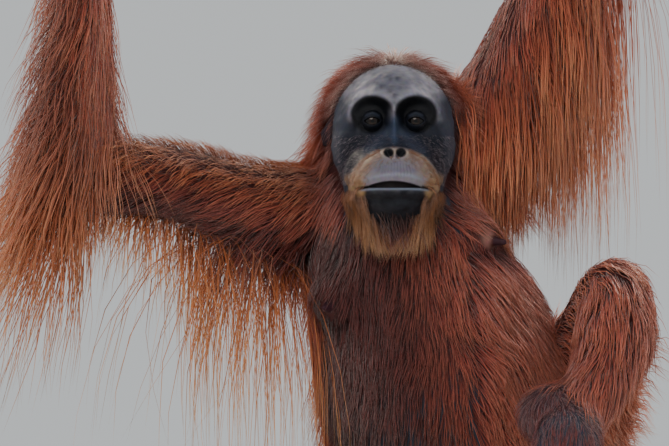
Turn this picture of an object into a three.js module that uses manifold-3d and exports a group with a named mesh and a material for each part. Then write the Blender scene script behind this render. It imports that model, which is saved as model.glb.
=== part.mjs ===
// A female orangutan at life size, hanging by both arms with both feet on a sloping branch, as a still museum
// model on a plain display stand. Every solid of the animal reaches out to the tips of its coat.
// Millimetres, +Z up. The face looks along -Y and the animal's left side is at +X.
// The origin is the centre of the underside of the stand's base.
import * as THREE from 'three';
import { mergeVertices } from 'three/addons/utils/BufferGeometryUtils.js';
import Module from 'manifold-3d';

const wasm = await Module();
wasm.setup();

// Driving dimensions

// Space left between neighbouring pieces
const GAP = 0.4;

// The stand: a flat board and two upright rods, one into the rump and one into the foot branch
const BASE_WIDTH = 660;
const BASE_DEPTH = 560;
const BASE_THICKNESS = 28;
const BASE_CORNER = 50;
const BASE_BEVEL = 3;
const ROD_RADIUS = 12;
const ROD_SOCKET = 40;

// Branches: the two that the hands hold are level, and the one under the feet slopes down to the right foot
const HAND_BRANCH_RADIUS = 23;
const HAND_BRANCH_LENGTH = 260;
const FOOT_BRANCH_RADIUS = 28;

// Head sizes
const FACE_MIDLINE_X = -12;
const EYE_RADIUS = 11.5;
const EYE_SPACING = 53;
const EYE_HEIGHT = 924;
const EYE_CENTRE_Y = -118;
const MUZZLE_FRONT_Y = -206;

// Joint centres of the skeleton
const JOINT = {
  skull: [FACE_MIDLINE_X, -55, 915],
  neck: [-8, 12, 850],
  chest: [-5, 5, 790],
  belly: [45, -10, 610],
  rump: [95, 40, 390],
  rightShoulder: [-105, 10, 812],
  rightElbow: [-399, -110, 859],
  rightWrist: [-386, -76, 1168],
  leftShoulder: [100, 10, 915],
  leftElbow: [228, 0, 1205],
  leftWrist: [205, -50, 1512],
  leftHip: [160, 30, 475],
  leftKnee: [257, -72, 716],
  leftAnkle: [200, -226, 568],
  rightHip: [25, 40, 450],
  rightKnee: [-172, -105, 452],
  rightAnkle: [-112, -238, 312],
};

// Where the foot branch passes under each foot, on its axis
const LEFT_FOOT_HOLD = [185, -232, 462];
const RIGHT_FOOT_HOLD = [-112, -240, 206];

// Hand sizes, from a palm of 100 mm and fingers that reach round the branch
const PALM_LENGTH = 102;
const PALM_HALF_WIDTH = 42;
const PALM_HALF_THICKNESS = 17;
const FINGER_SPACING = 20.5;
const FINGER_RADIUS = 10;
const FINGER_WRAP = 205;
const THUMB_RADIUS = 9;

// Foot sizes
const TOE_SPACING = 19;
const TOE_RADIUS = 10;
const TOE_WRAP = 150;
const GREAT_TOE_RADIUS = 11;
const GREAT_TOE_WRAP = 110;
const DIGIT_SIDES = 6;

const FINISHES = {
  coat: { color: '#9b4a2b', roughness: 0.85, metalness: 0 },
  skin: { color: '#565c6b', roughness: 0.6, metalness: 0 },
  eye: { color: '#2b170f', roughness: 0.12, metalness: 0 },
  bark: { color: '#6d6a58', roughness: 0.9, metalness: 0 },
  board: { color: '#c9a97c', roughness: 0.5, metalness: 0 },
  steel: { color: '#b9bbbd', roughness: 0.3, metalness: 1 },
};

// Shape functions. Each gives a function of a growth in mm, so that a neighbour can be cut back to a gap.

function toSolid(geometry) {
  const bare = geometry.clone();
  bare.deleteAttribute('normal');
  bare.deleteAttribute('uv');
  const merged = mergeVertices(bare, 1e-4);
  const mesh = new wasm.Mesh({
    numProp: 3,
    vertProperties: new Float32Array(merged.attributes.position.array),
    triVerts: new Uint32Array(merged.index.array),
  });
  return new wasm.Manifold(mesh);
}

function toGeometry(solid) {
  const mesh = solid.getMesh();
  const geometry = new THREE.BufferGeometry();
  geometry.setAttribute('position', new THREE.BufferAttribute(mesh.vertProperties, 3));
  geometry.setIndex(new THREE.BufferAttribute(mesh.triVerts, 1));
  geometry.computeVertexNormals();
  return geometry;
}

// A closed body swept through oval rings of [x, y, z, half width, half depth], with rounded ends.
// The half width lies along `across`, and an end reaches out by `ends` times the ring's smaller half.
function sweep(rings, { across = [1, 0, 0], sides = 14, steps = 2 * (rings.length - 1), ends = 0.6 } = {}) {
  return (grow) => {
    const path = new THREE.CatmullRomCurve3(rings.map((ring) => new THREE.Vector3(...ring)));
    const halves = new THREE.CatmullRomCurve3(
      rings.map((ring) => new THREE.Vector3(ring[3], ring[4], 0)), false, 'catmullrom', 0.4);
    const positions = [];

    function addRing(t, scale, reach) {
      const centre = path.getPoint(t);
      const along = path.getTangent(t);
      const half = halves.getPoint(t);
      const wide = new THREE.Vector3(...across).addScaledVector(along, -along.dot(new THREE.Vector3(...across)));
      wide.normalize();
      const deep = along.clone().cross(wide);
      const endReach = (Math.min(half.x, half.y) + grow) * ends * reach;
      centre.addScaledVector(along, endReach);
      if (scale === 0) {
        positions.push(centre.x, centre.y, centre.z);
        return;
      }
      for (let side = 0; side < sides; side += 1) {
        const angle = (2 * Math.PI * side) / sides;
        const corner = centre.clone();
        corner.addScaledVector(wide, Math.cos(angle) * (half.x + grow) * scale);
        corner.addScaledVector(deep, Math.sin(angle) * (half.y + grow) * scale);
        positions.push(corner.x, corner.y, corner.z);
      }
    }

    addRing(0, 0, -1);
    addRing(0, 0.72, -0.7);
    for (let step = 0; step <= steps; step += 1) addRing(step / steps, 1, 0);
    addRing(1, 0.72, 0.7);
    addRing(1, 0, 1);

    const ringCount = steps + 3;
    const lastPole = 1 + ringCount * sides;
    const index = [];
    for (let side = 0; side < sides; side += 1) {
      const next = (side + 1) % sides;
      index.push(0, 1 + next, 1 + side);
      for (let ring = 0; ring < ringCount - 1; ring += 1) {
        const low = 1 + ring * sides;
        const high = low + sides;
        index.push(low + side, low + next, high + next);
        index.push(low + side, high + next, high + side);
      }
      const last = lastPole - sides;
      index.push(last + side, last + next, lastPole);
    }
    const geometry = new THREE.BufferGeometry();
    geometry.setAttribute('position', new THREE.Float32BufferAttribute(positions, 3));
    geometry.setIndex(index);
    return toSolid(geometry);
  };
}

function ball(centre, radii, { sides = 14, turn = [0, 0, 0] } = {}) {
  return (grow) => {
    const geometry = new THREE.SphereGeometry(1, sides, Math.round(sides * 0.6));
    geometry.scale(radii[0] + grow, radii[1] + grow, radii[2] + grow);
    geometry.rotateX(THREE.MathUtils.degToRad(turn[0]));
    geometry.rotateY(THREE.MathUtils.degToRad(turn[1]));
    geometry.rotateZ(THREE.MathUtils.degToRad(turn[2]));
    geometry.translate(...centre);
    return toSolid(geometry);
  };
}

// A round bar between two points, its ends cut square
function bar(from, to, radius, sides = 20) {
  return (grow) => {
    const start = new THREE.Vector3(...from);
    const end = new THREE.Vector3(...to);
    const along = end.clone().sub(start);
    const length = along.length();
    const geometry = new THREE.CylinderGeometry(radius + grow, radius + grow, length + 2 * grow, sides);
    geometry.applyQuaternion(new THREE.Quaternion().setFromUnitVectors(new THREE.Vector3(0, 1, 0), along.normalize()));
    const middle = start.add(end).multiplyScalar(0.5);
    geometry.translate(middle.x, middle.y, middle.z);
    return toSolid(geometry);
  };
}

function join(...shapes) {
  return (grow) => shapes.map((shape) => shape(grow)).reduce((all, next) => all.add(next));
}

// Everything above or below a plane through a point, for parting the trunk
function halfSpace(point, normal) {
  return (grow) => {
    const reach = 2000;
    const geometry = new THREE.BoxGeometry(reach, reach, reach);
    geometry.translate(0, 0, reach / 2 - grow);
    const up = new THREE.Vector3(...normal).normalize();
    geometry.applyQuaternion(new THREE.Quaternion().setFromUnitVectors(new THREE.Vector3(0, 0, 1), up));
    geometry.translate(...point);
    return toSolid(geometry);
  };
}

// Pieces, each in its own named mesh. A piece gives way to every piece added before it.
const pieces = [];

function addPiece(name, finish, origin, shape, hollows = []) {
  pieces.push({ name, finish, origin, shape, hollows });
}

const offset = (place, dx, dy, dz) => [place[0] + dx, place[1] + dy, place[2] + dz];
const mix = (a, b, t) => a.map((value, axis) => value + (b[axis] - value) * t);

// Stand

function baseShape() {
  return (grow) => {
    const halfWidth = BASE_WIDTH / 2 - BASE_BEVEL;
    const halfDepth = BASE_DEPTH / 2 - BASE_BEVEL;
    const outline = new THREE.Shape();
    outline.moveTo(halfWidth, -halfDepth + BASE_CORNER);
    outline.absarc(halfWidth - BASE_CORNER, halfDepth - BASE_CORNER, BASE_CORNER, 0, Math.PI / 2);
    outline.absarc(-halfWidth + BASE_CORNER, halfDepth - BASE_CORNER, BASE_CORNER, Math.PI / 2, Math.PI);
    outline.absarc(-halfWidth + BASE_CORNER, -halfDepth + BASE_CORNER, BASE_CORNER, Math.PI, 1.5 * Math.PI);
    outline.absarc(halfWidth - BASE_CORNER, -halfDepth + BASE_CORNER, BASE_CORNER, 1.5 * Math.PI, 2 * Math.PI);
    const geometry = new THREE.ExtrudeGeometry(outline, {
      depth: BASE_THICKNESS - 2 * BASE_BEVEL,
      bevelThickness: BASE_BEVEL,
      bevelSize: BASE_BEVEL,
      bevelSegments: 1,
      curveSegments: 3,
    });
    geometry.translate(0, 0, BASE_BEVEL + grow);
    return toSolid(geometry);
  };
}

const branchAt = (x) => mix(RIGHT_FOOT_HOLD, LEFT_FOOT_HOLD,
  (x - RIGHT_FOOT_HOLD[0]) / (LEFT_FOOT_HOLD[0] - RIGHT_FOOT_HOLD[0]));

const RUMP_ROD_FOOT = [JOINT.rump[0] - 5, JOINT.rump[1] + 5, BASE_THICKNESS];
const RUMP_ROD_TOP = JOINT.rump[2] - 40 + ROD_SOCKET;
const BRANCH_ROD_X = -30;
const BRANCH_ROD_TOP = branchAt(BRANCH_ROD_X);

addPiece('stand_base', 'board', [0, 0, 0], baseShape());
addPiece('stand_rod_rump', 'steel', RUMP_ROD_FOOT,
  bar(RUMP_ROD_FOOT, [RUMP_ROD_FOOT[0], RUMP_ROD_FOOT[1], RUMP_ROD_TOP], ROD_RADIUS, 16));
addPiece('stand_rod_branch', 'steel', [BRANCH_ROD_TOP[0], BRANCH_ROD_TOP[1], BASE_THICKNESS],
  bar([BRANCH_ROD_TOP[0], BRANCH_ROD_TOP[1], BASE_THICKNESS], BRANCH_ROD_TOP, ROD_RADIUS, 16));

// Branches

const HAND_REACH = PALM_LENGTH + 8;

function handBranchCentre(wrist) {
  const back = PALM_HALF_THICKNESS + HAND_BRANCH_RADIUS + 2;
  return offset(wrist, 0, -back, HAND_REACH);
}

function barkedBranch(from, to, radius) {
  const knots = [1.04, 0.97, 1.0, 1.05, 0.96, 1.02];
  const rings = knots.map((swell, index) => {
    const place = mix(from, to, index / (knots.length - 1));
    return [...place, radius * swell, radius * (2 - swell)];
  });
  return sweep(rings, { across: [0, 0, 1], sides: 8, steps: 5, ends: 0.05 });
}

const FOOT_BRANCH_ENDS = [branchAt(-205), branchAt(228)];
addPiece('perch_feet', 'bark', branchAt(0), barkedBranch(...FOOT_BRANCH_ENDS, FOOT_BRANCH_RADIUS));
for (const [side, wrist] of [['left', JOINT.leftWrist], ['right', JOINT.rightWrist]]) {
  const centre = handBranchCentre(wrist);
  const from = offset(centre, -HAND_BRANCH_LENGTH / 2, 6, -8);
  const to = offset(centre, HAND_BRANCH_LENGTH / 2, -4, 8);
  addPiece(`perch_${side}_hand`, 'bark', centre, barkedBranch(from, to, HAND_BRANCH_RADIUS));
}

// Head: the crown of hair, the broad face, the domed muzzle, the brow, the nose and the beard

const faceSide = (side, dx, y, z) => [FACE_MIDLINE_X + side * dx, y, z];

for (const [name, side] of [['left', 1], ['right', -1]]) {
  addPiece(`eye_${name}`, 'eye', faceSide(side, EYE_SPACING / 2, EYE_CENTRE_Y, EYE_HEIGHT),
    ball(faceSide(side, EYE_SPACING / 2, EYE_CENTRE_Y, EYE_HEIGHT), [EYE_RADIUS, EYE_RADIUS, EYE_RADIUS], { sides: 9 }));
}

function headShape() {
  const mid = FACE_MIDLINE_X;
  const skull = sweep([
    [mid, -52, 996, 46, 50],
    [mid, -52, 975, 74, 70],
    [mid, -53, 945, 89, 84],
    [mid, -54, 910, 94, 84],
    [mid, -56, 872, 92, 80],
    [mid, -62, 838, 84, 74],
    [mid, -72, 806, 66, 64],
  ], { sides: 12, steps: 6, ends: 0.45 });
  const crownLocks = [-1, 1].map((side) => ball(faceSide(side, 32, -50, 975), [54, 66, 38], { sides: 8 }));
  const muzzle = sweep([
    [mid, -100, 852, 64, 50],
    [mid, -145, 850, 60, 50],
    [mid, -178, 846, 53, 47],
    [mid, -196, 845, 40, 37],
  ], { sides: 12, steps: 4, ends: (MUZZLE_FRONT_Y + 196) / -38 });
  const nose = ball([mid, -184, 886], [17, 14, 11], { sides: 8, turn: [-20, 0, 0] });
  const brow = sweep([
    [...faceSide(-1, 66, -100, 938), 12, 12],
    [...faceSide(-1, 30, -131, 956), 11, 11],
    [mid, -134, 948, 9, 9],
    [...faceSide(1, 30, -131, 956), 11, 11],
    [...faceSide(1, 66, -100, 938), 12, 12],
  ], { across: [0, 0, 1], sides: 6, steps: 6 });
  const cheekBeards = [-1, 1].map((side) => sweep([
    [...faceSide(side, 50, -132, 850), 18, 26],
    [...faceSide(side, 45, -142, 812), 24, 24],
    [...faceSide(side, 41, -146, 784), 18, 14],
    [...faceSide(side, 43, -146, 766), 8, 6],
  ], { sides: 6, steps: 3 }));
  return join(skull, ...crownLocks, muzzle, nose, brow, ...cheekBeards);
}

const sockets = [-1, 1].map((side) => ball(faceSide(side, 28, -148, 932), [25, 26, 21], { sides: 8 }));
const mouth = sweep([
  [...faceSide(-1, 42, -184, 842), 1.2, 10],
  [...faceSide(-1, 20, -206, 846), 2.6, 10],
  [...faceSide(1, 20, -206, 846), 2.6, 10],
  [...faceSide(1, 42, -184, 842), 1.2, 10],
], { across: [0, 0, 1], sides: 5, steps: 5 });
const nostrils = [-1, 1].map((side) => ball(faceSide(side, 8.5, -200, 885), [6, 9, 5], { sides: 6 }));
addPiece('head', 'coat', JOINT.skull, headShape(), [...sockets, mouth, ...nostrils]);

for (const [name, side] of [['left', 1], ['right', -1]]) {
  addPiece(`ear_${name}`, 'skin', faceSide(side, 87, -38, 914),
    ball(faceSide(side, 87, -38, 914), [9, 15, 20], { sides: 8, turn: [0, 0, side * 25] }));
}

addPiece('neck', 'coat', JOINT.neck, sweep([
  [-10, -6, 915, 70, 64],
  [-4, 6, 885, 92, 84],
  [-2, 16, 845, 100, 92],
  [-4, 20, 810, 90, 84],
], { sides: 9, steps: 3 }));

// Trunk: one leaning body, parted across into chest, belly and rump

const trunk = sweep([
  [-26, 24, 905, 84, 74],
  [-16, 20, 865, 122, 104],
  [-6, 12, 805, 134, 122],
  [13, -4, 722, 152, 134],
  [40, -14, 625, 170, 150],
  [64, 0, 530, 172, 152],
  [84, 24, 455, 146, 134],
  [96, 42, 398, 92, 90],
], { sides: 14, steps: 8, ends: 0.45 });

const CHEST_CUT = { point: [28, 0, 658], normal: [-0.28, 0.02, 0.96] };
const RUMP_CUT = { point: [72, 0, 492], normal: [-0.2, -0.2, 0.96] };
const reversed = (normal) => normal.map((value) => -value);

function between(shape, above, below) {
  return (grow) => {
    let solid = shape(grow);
    if (above) solid = solid.intersect(halfSpace(above.point, above.normal)(grow));
    if (below) solid = solid.intersect(halfSpace(below.point, reversed(below.normal))(grow));
    return solid;
  };
}

for (const [name, place] of [['left', [110, -70, 778]], ['right', [-92, -98, 698]]]) {
  const out = name === 'left' ? [0.93, -0.35, -0.1] : [-0.35, -0.9, -0.1];
  const tip = place.map((value, axis) => value + out[axis] * 19);
  const root = place.map((value, axis) => value - out[axis] * 8);
  addPiece(`nipple_${name}`, 'skin', place, sweep([
    [...root, 7, 7],
    [...mix(root, tip, 0.6), 5.5, 5.5],
    [...tip, 5, 5],
  ], { across: [0, 0, 1], sides: 8, steps: 3 }));
}

addPiece('chest', 'coat', JOINT.chest, between(trunk, CHEST_CUT, null));
addPiece('belly', 'coat', JOINT.belly, between(trunk, RUMP_CUT, CHEST_CUT));
addPiece('rump', 'coat', JOINT.rump, between(trunk, null, RUMP_CUT));

// Arms: each segment with the long hair that hangs from it

const UPRIGHT = { across: [0, 0, 1], sides: 9 };
const LEVEL = { across: [1, 0, 0], sides: 9 };

addPiece('upper_arm_right', 'coat', JOINT.rightShoulder, join(
  sweep([
    [...JOINT.rightShoulder, 74, 74],
    [-190, -30, 820, 70, 62],
    [-262, -58, 847, 64, 54],
    [-332, -86, 850, 68, 56],
    [-392, -108, 858, 66, 58],
  ], { ...UPRIGHT, steps: 6 }),
  sweep([
    [-200, -44, 800, 90, 46],
    [-206, -40, 715, 72, 32],
    [-196, -34, 620, 58, 24],
    [-186, -30, 530, 42, 15],
    [-180, -30, 470, 16, 7],
  ], { ...LEVEL, sides: 8, steps: 5 })));

addPiece('upper_arm_left', 'coat', JOINT.leftShoulder, join(
  sweep([
    [...JOINT.leftShoulder, 70, 74],
    [138, 8, 995, 60, 60],
    [182, 4, 1095, 58, 54],
    [226, 0, 1198, 58, 54],
  ], { ...LEVEL, steps: 5 }),
  sweep([
    [230, 14, 1180, 50, 44],
    [222, 22, 1075, 56, 42],
    [210, 32, 960, 65, 36],
    [186, 40, 860, 70, 28],
    [182, 46, 785, 60, 18],
    [186, 48, 750, 28, 8],
  ], { ...LEVEL, sides: 8, steps: 5 })));

addPiece('forearm_right', 'coat', JOINT.rightElbow, join(
  sweep([
    [-406, -112, 858, 88, 68],
    [-406, -106, 950, 88, 60],
    [-400, -94, 1050, 72, 50],
    [-390, -82, 1120, 48, 38],
    [-386, -76, 1160, 37, 28],
  ], { ...LEVEL, steps: 5 }),
  sweep([
    [-420, -116, 880, 76, 58],
    [-414, -112, 790, 72, 44],
    [-386, -106, 705, 54, 30],
    [-356, -102, 640, 32, 18],
    [-342, -100, 596, 10, 8],
  ], { ...LEVEL, sides: 8, steps: 5 })));

addPiece('forearm_left', 'coat', JOINT.leftElbow, sweep([
  [228, 4, 1206, 72, 62],
  [222, -10, 1300, 66, 54],
  [212, -32, 1400, 52, 44],
  [206, -46, 1470, 42, 34],
  [205, -50, 1504, 37, 28],
], { ...LEVEL, steps: 5 }));

// Hands: a long palm behind the branch, four fingers hooked over it and a short thumb

function palmShape(wrist) {
  return sweep([
    [...offset(wrist, 0, 0, 2), 33, 22],
    [...offset(wrist, 0, 0, 40), 38, PALM_HALF_THICKNESS + 1],
    [...offset(wrist, 0, 0, PALM_LENGTH - 12), PALM_HALF_WIDTH, PALM_HALF_THICKNESS],
  ], { ...LEVEL, sides: 9, steps: 3, ends: 0.5 });
}

// A digit follows an oval round the branch, in the upright plane that faces X
function wrapShape(centre, reach, radius, startAngle, wrap) {
  const stationCount = 5;
  const rings = [];
  for (let station = 0; station < stationCount; station += 1) {
    const share = station / (stationCount - 1);
    const angle = THREE.MathUtils.degToRad(startAngle + wrap * share);
    const place = offset(centre, 0, Math.cos(angle) * reach[0], Math.sin(angle) * reach[1]);
    const half = radius * (1 - 0.22 * share);
    rings.push([...place, half, half]);
  }
  return sweep(rings, { across: [1, 0, 0], sides: DIGIT_SIDES, steps: 4 });
}

const FINGER_NAMES = ['index', 'middle', 'ring', 'little'];

for (const [side, wrist, inward] of [['left', JOINT.leftWrist, -1], ['right', JOINT.rightWrist, 1]]) {
  addPiece(`hand_${side}`, 'skin', wrist, palmShape(wrist));
  const centre = handBranchCentre(wrist);
  const reach = HAND_BRANCH_RADIUS + FINGER_RADIUS + 2.5;
  FINGER_NAMES.forEach((finger, order) => {
    const dx = inward * (1.5 - order) * FINGER_SPACING;
    const tilt = (dx / HAND_BRANCH_LENGTH) * 16;
    const shorter = finger === 'little' ? 25 : 0;
    addPiece(`finger_${side}_${finger}`, 'skin', offset(centre, dx, 0, reach),
      wrapShape(offset(centre, dx, 0, tilt), [reach, reach], FINGER_RADIUS, -12, FINGER_WRAP - shorter));
  });
  addPiece(`thumb_${side}`, 'skin', offset(wrist, inward * 34, -6, 34), sweep([
    [...offset(wrist, inward * 34, -4, 30), THUMB_RADIUS + 1, THUMB_RADIUS + 1],
    [...offset(wrist, inward * 46, -24, 52), THUMB_RADIUS, THUMB_RADIUS],
    [...offset(wrist, inward * 48, -48, 66), THUMB_RADIUS - 2, THUMB_RADIUS - 2],
  ], { across: [1, 0, 0], sides: DIGIT_SIDES, steps: 3 }));
}

// Legs: the left one folded up beside the belly, the right one lower and out to the side

addPiece('thigh_left', 'coat', JOINT.leftHip, sweep([
  [...JOINT.leftHip, 92, 92],
  [216, -14, 590, 90, 76],
  [248, -48, 672, 70, 62],
  [...offset(JOINT.leftKnee, 2, 0, -6), 52, 50],
], { ...LEVEL, steps: 5, ends: 0.5 }));

addPiece('shin_left', 'coat', JOINT.leftKnee, sweep([
  [...offset(JOINT.leftKnee, 2, -4, -8), 54, 52],
  [258, -124, 664, 60, 54],
  [230, -184, 606, 50, 46],
  [...offset(JOINT.leftAnkle, 4, 4, 6), 40, 36],
], { ...LEVEL, steps: 5, ends: 0.5 }));

addPiece('thigh_right', 'coat', JOINT.rightHip, sweep([
  [...JOINT.rightHip, 88, 90],
  [-70, -28, 440, 78, 76],
  [-136, -78, 446, 64, 62],
  [...JOINT.rightKnee, 52, 52],
], { ...UPRIGHT, steps: 5, ends: 0.7 }));

addPiece('shin_right', 'coat', JOINT.rightKnee, sweep([
  [...offset(JOINT.rightKnee, 0, -2, -4), 54, 52],
  [-156, -148, 410, 54, 52],
  [-130, -200, 354, 46, 44],
  [...offset(JOINT.rightAnkle, 0, 2, 4), 38, 34],
], { ...LEVEL, steps: 5, ends: 0.5 }));

// Feet: the instep lies over the front of the branch, the toes curl under it, and the great toe goes over it

function footShape(ankle, hold) {
  const soleY = hold[1] - FOOT_BRANCH_RADIUS - 3;
  return join(
    sweep([
      [...offset(ankle, 0, 10, 6), 40, 36],
      [ankle[0] - 10, soleY - 14, ankle[2] - 22, 50, 32],
      [ankle[0] - 16, soleY - 22, hold[2] + 34, 52, 21],
      [hold[0], soleY - 17, hold[2] - 4, 42, 17],
    ], { ...LEVEL, steps: 5, ends: 0.6 }),
    ball([ankle[0] + 2, ankle[1] + 22, ankle[2] - 18], [30, 34, 30], { sides: 8 }));
}

const TOE_NAMES = ['second', 'third', 'fourth', 'fifth'];
const branchSlope = (LEFT_FOOT_HOLD[2] - RIGHT_FOOT_HOLD[2]) / (LEFT_FOOT_HOLD[0] - RIGHT_FOOT_HOLD[0]);
const branchTilt = Math.atan(branchSlope);

for (const [side, ankle, hold, inward] of [
  ['left', JOINT.leftAnkle, LEFT_FOOT_HOLD, -1],
  ['right', JOINT.rightAnkle, RIGHT_FOOT_HOLD, 1],
]) {
  addPiece(`foot_${side}`, 'skin', ankle, footShape(ankle, hold));
  const reachY = FOOT_BRANCH_RADIUS + TOE_RADIUS + 2.5;
  const reachZ = reachY / Math.cos(branchTilt);
  TOE_NAMES.forEach((toe, order) => {
    const dx = inward * (1.5 - order) * TOE_SPACING;
    addPiece(`toe_${side}_${toe}`, 'skin', offset(hold, dx, -reachY, dx * branchSlope),
      wrapShape(offset(hold, dx, 0, dx * branchSlope), [reachY, reachZ], TOE_RADIUS, 184, TOE_WRAP));
  });
  const greatX = inward * 36;
  const over = offset(hold, greatX, 0, greatX * branchSlope);
  addPiece(`great_toe_${side}`, 'skin', offset(over, 0, 0, reachZ), wrapShape(
    offset(over, 0, 0, 4), [reachY + 1, reachZ + 1], GREAT_TOE_RADIUS, 120, -GREAT_TOE_WRAP));
}

// Cutting each piece back to a gap from those before it, and building the scene

const boxesMeet = (a, b) => [0, 1, 2].every((axis) => a.min[axis] < b.max[axis] && b.min[axis] < a.max[axis]);

function largestBody(solid) {
  return solid.decompose().reduce((best, body) => (body.volume() > best.volume() ? body : best));
}

const orangutan = new THREE.Group();
const grown = [];
for (const { name, finish, origin, shape, hollows } of pieces) {
  let solid = shape(0);
  const box = solid.boundingBox();
  for (const hollow of hollows) solid = solid.subtract(hollow(0));
  for (const earlier of grown) {
    if (boxesMeet(box, earlier.box)) solid = solid.subtract(earlier.solid);
  }
  const geometry = toGeometry(largestBody(solid));
  geometry.translate(-origin[0], -origin[1], -origin[2]);
  const mesh = new THREE.Mesh(geometry, new THREE.MeshStandardMaterial(FINISHES[finish]));
  mesh.name = name;
  mesh.position.set(...origin);
  orangutan.add(mesh);
  const larger = shape(GAP);
  grown.push({ solid: larger, box: larger.boundingBox() });
}

export default orangutan;
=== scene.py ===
import bpy
import math
import numpy as np
from mathutils import Matrix, Vector
from mathutils.bvhtree import BVHTree


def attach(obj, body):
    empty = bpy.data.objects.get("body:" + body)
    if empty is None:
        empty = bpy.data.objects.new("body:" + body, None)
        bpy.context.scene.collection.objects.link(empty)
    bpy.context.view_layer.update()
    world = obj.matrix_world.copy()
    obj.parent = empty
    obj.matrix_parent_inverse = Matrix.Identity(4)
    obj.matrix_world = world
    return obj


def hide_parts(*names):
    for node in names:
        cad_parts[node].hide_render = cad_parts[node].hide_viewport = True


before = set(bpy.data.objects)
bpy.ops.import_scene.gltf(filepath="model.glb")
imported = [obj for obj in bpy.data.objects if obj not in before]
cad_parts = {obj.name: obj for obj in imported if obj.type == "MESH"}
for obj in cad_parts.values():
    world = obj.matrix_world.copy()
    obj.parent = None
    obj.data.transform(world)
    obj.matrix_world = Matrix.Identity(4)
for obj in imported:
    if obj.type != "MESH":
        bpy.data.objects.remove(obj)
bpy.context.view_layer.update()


# Camera, 5 m in front of the face and level, which gives the photograph's framing.
# One pixel of the 669 x 446 frame covers 1.2 mm at the face, where the bare face is 154 mm wide.
FRAME_WIDTH_PX = 669
FACE_PLANE_Y = -0.2
METRES_PER_PIXEL = 0.0012
CAMERA_DISTANCE = 5.0
CAMERA_X = -0.0846
CAMERA_HEIGHT = 0.8

bpy.ops.object.select_all(action="DESELECT")
bpy.ops.object.camera_add(
    location=(CAMERA_X, FACE_PLANE_Y - CAMERA_DISTANCE, CAMERA_HEIGHT),
    rotation=(math.radians(90), 0, 0),
)
camera = bpy.context.active_object
camera.name = "camera"
camera.data.lens = camera.data.sensor_width * CAMERA_DISTANCE / (METRES_PER_PIXEL * FRAME_WIDTH_PX)
camera.data.dof.use_dof = False
bpy.context.scene.camera = camera


# Studio: a pale matt floor, a pale surround, a broad soft key light from above the camera's left,
# and two softer lights high behind, which light the ends of the hair from the back.
def srgb(hex_colour):
    channels = [int(hex_colour[i:i + 2], 16) / 255 for i in (1, 3, 5)]
    linear = [c / 12.92 if c <= 0.04045 else ((c + 0.055) / 1.055) ** 2.4 for c in channels]
    return (*linear, 1.0)


def new_material(name, values):
    """A material and its main shader, with these values in the shader's sockets."""
    material = bpy.data.materials.new(name)
    material.use_nodes = True
    shader = material.node_tree.nodes["Principled BSDF"]
    for socket, value in values.items():
        shader.inputs[socket].default_value = value
    return material, shader


def add_node(material, kind, settings=None, links=None):
    """Adds one node. settings are its properties or socket values; links are {socket: (node, output)}."""
    node = material.node_tree.nodes.new(kind)
    for key, value in (settings or {}).items():
        if isinstance(key, str) and hasattr(node, key):
            setattr(node, key, value)
        else:
            node.inputs[key].default_value = value
    for socket, (source, output) in (links or {}).items():
        material.node_tree.links.new(source.outputs[output], node.inputs[socket])
    return node


def link(material, source, output, target, socket):
    material.node_tree.links.new(source.outputs[output], target.inputs[socket])


FLOOR_HALF = 5.0
bpy.ops.mesh.primitive_plane_add(size=2 * FLOOR_HALF, location=(0, 0, -0.0005))
floor = bpy.context.active_object
floor.name = "floor"
floor_paint = new_material("matt floor paint", {"Base Color": srgb("#d9d8d4"), "Roughness": 0.8})[0]
floor.data.materials.append(floor_paint)

world = bpy.data.worlds.new("studio surround")
bpy.context.scene.world = world
world.use_nodes = True
world.node_tree.nodes["Background"].inputs["Color"].default_value = srgb("#e4e8ea")
world.node_tree.nodes["Background"].inputs["Strength"].default_value = 0.75


def soft_light(name, place, aim, size, power, colour):
    bpy.ops.object.light_add(type="AREA", location=place)
    light = bpy.context.active_object
    light.name = name
    light.data.shape = "DISK"
    light.data.size = size
    light.data.energy = power
    light.data.color = srgb(colour)[:3]
    light.rotation_euler = (Vector(aim) - Vector(place)).to_track_quat("-Z", "Y").to_euler()


soft_light("key", (-0.9, -2.9, 3.3), (0, 0, 0.85), 2.6, 82, "#fff6ee")
soft_light("back left", (-1.5, 2.6, 3.4), (-0.1, 0, 0.9), 1.6, 150, "#fff0dc")
soft_light("back right", (1.8, 2.2, 2.8), (0.1, 0, 0.9), 1.6, 120, "#fff0dc")


# Skin: one closed hide over head, trunk, arms, legs, hands and feet, blocked in with overlapping balls of
# flesh along the limbs, fused and smoothed. It lies inside the solids by the depth of the coat.
MM = 0.001
FACE_MID = -12.0


def catmull(stations, t):
    """A point at t (0 to 1) on a smooth curve through rows of numbers."""
    rows = np.asarray(stations, float)
    place = t * (len(rows) - 1)
    i = min(int(place), len(rows) - 2)
    f = place - i
    p0, p1, p2, p3 = (rows[min(max(k, 0), len(rows) - 1)] for k in (i - 1, i, i + 1, i + 2))
    if i == 0:
        p0 = 2 * p1 - p2
    if i + 2 > len(rows) - 1:
        p3 = 2 * p2 - p1
    return 0.5 * (2 * p1 + (p2 - p0) * f + (2 * p0 - 5 * p1 + 4 * p2 - p3) * f * f
                  + (3 * p1 - p0 - 3 * p2 + p3) * f ** 3)


balls = []
ball_limb = []
limb_names = []


def add_ball(centre, halves, turn=None, share=0.5, along=(0, 0, -1)):
    """One ball of flesh, centre and half sizes in mm, its third axis along the limb."""
    axes = np.eye(3) if turn is None else np.array(turn)
    balls.append((np.array(centre, float), axes @ np.diag(np.array(halves, float))))
    ball_limb.append((len(limb_names) - 1, share, *Vector(along).normalized()))


def begin_limb(name):
    limb_names.append(name)


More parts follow.
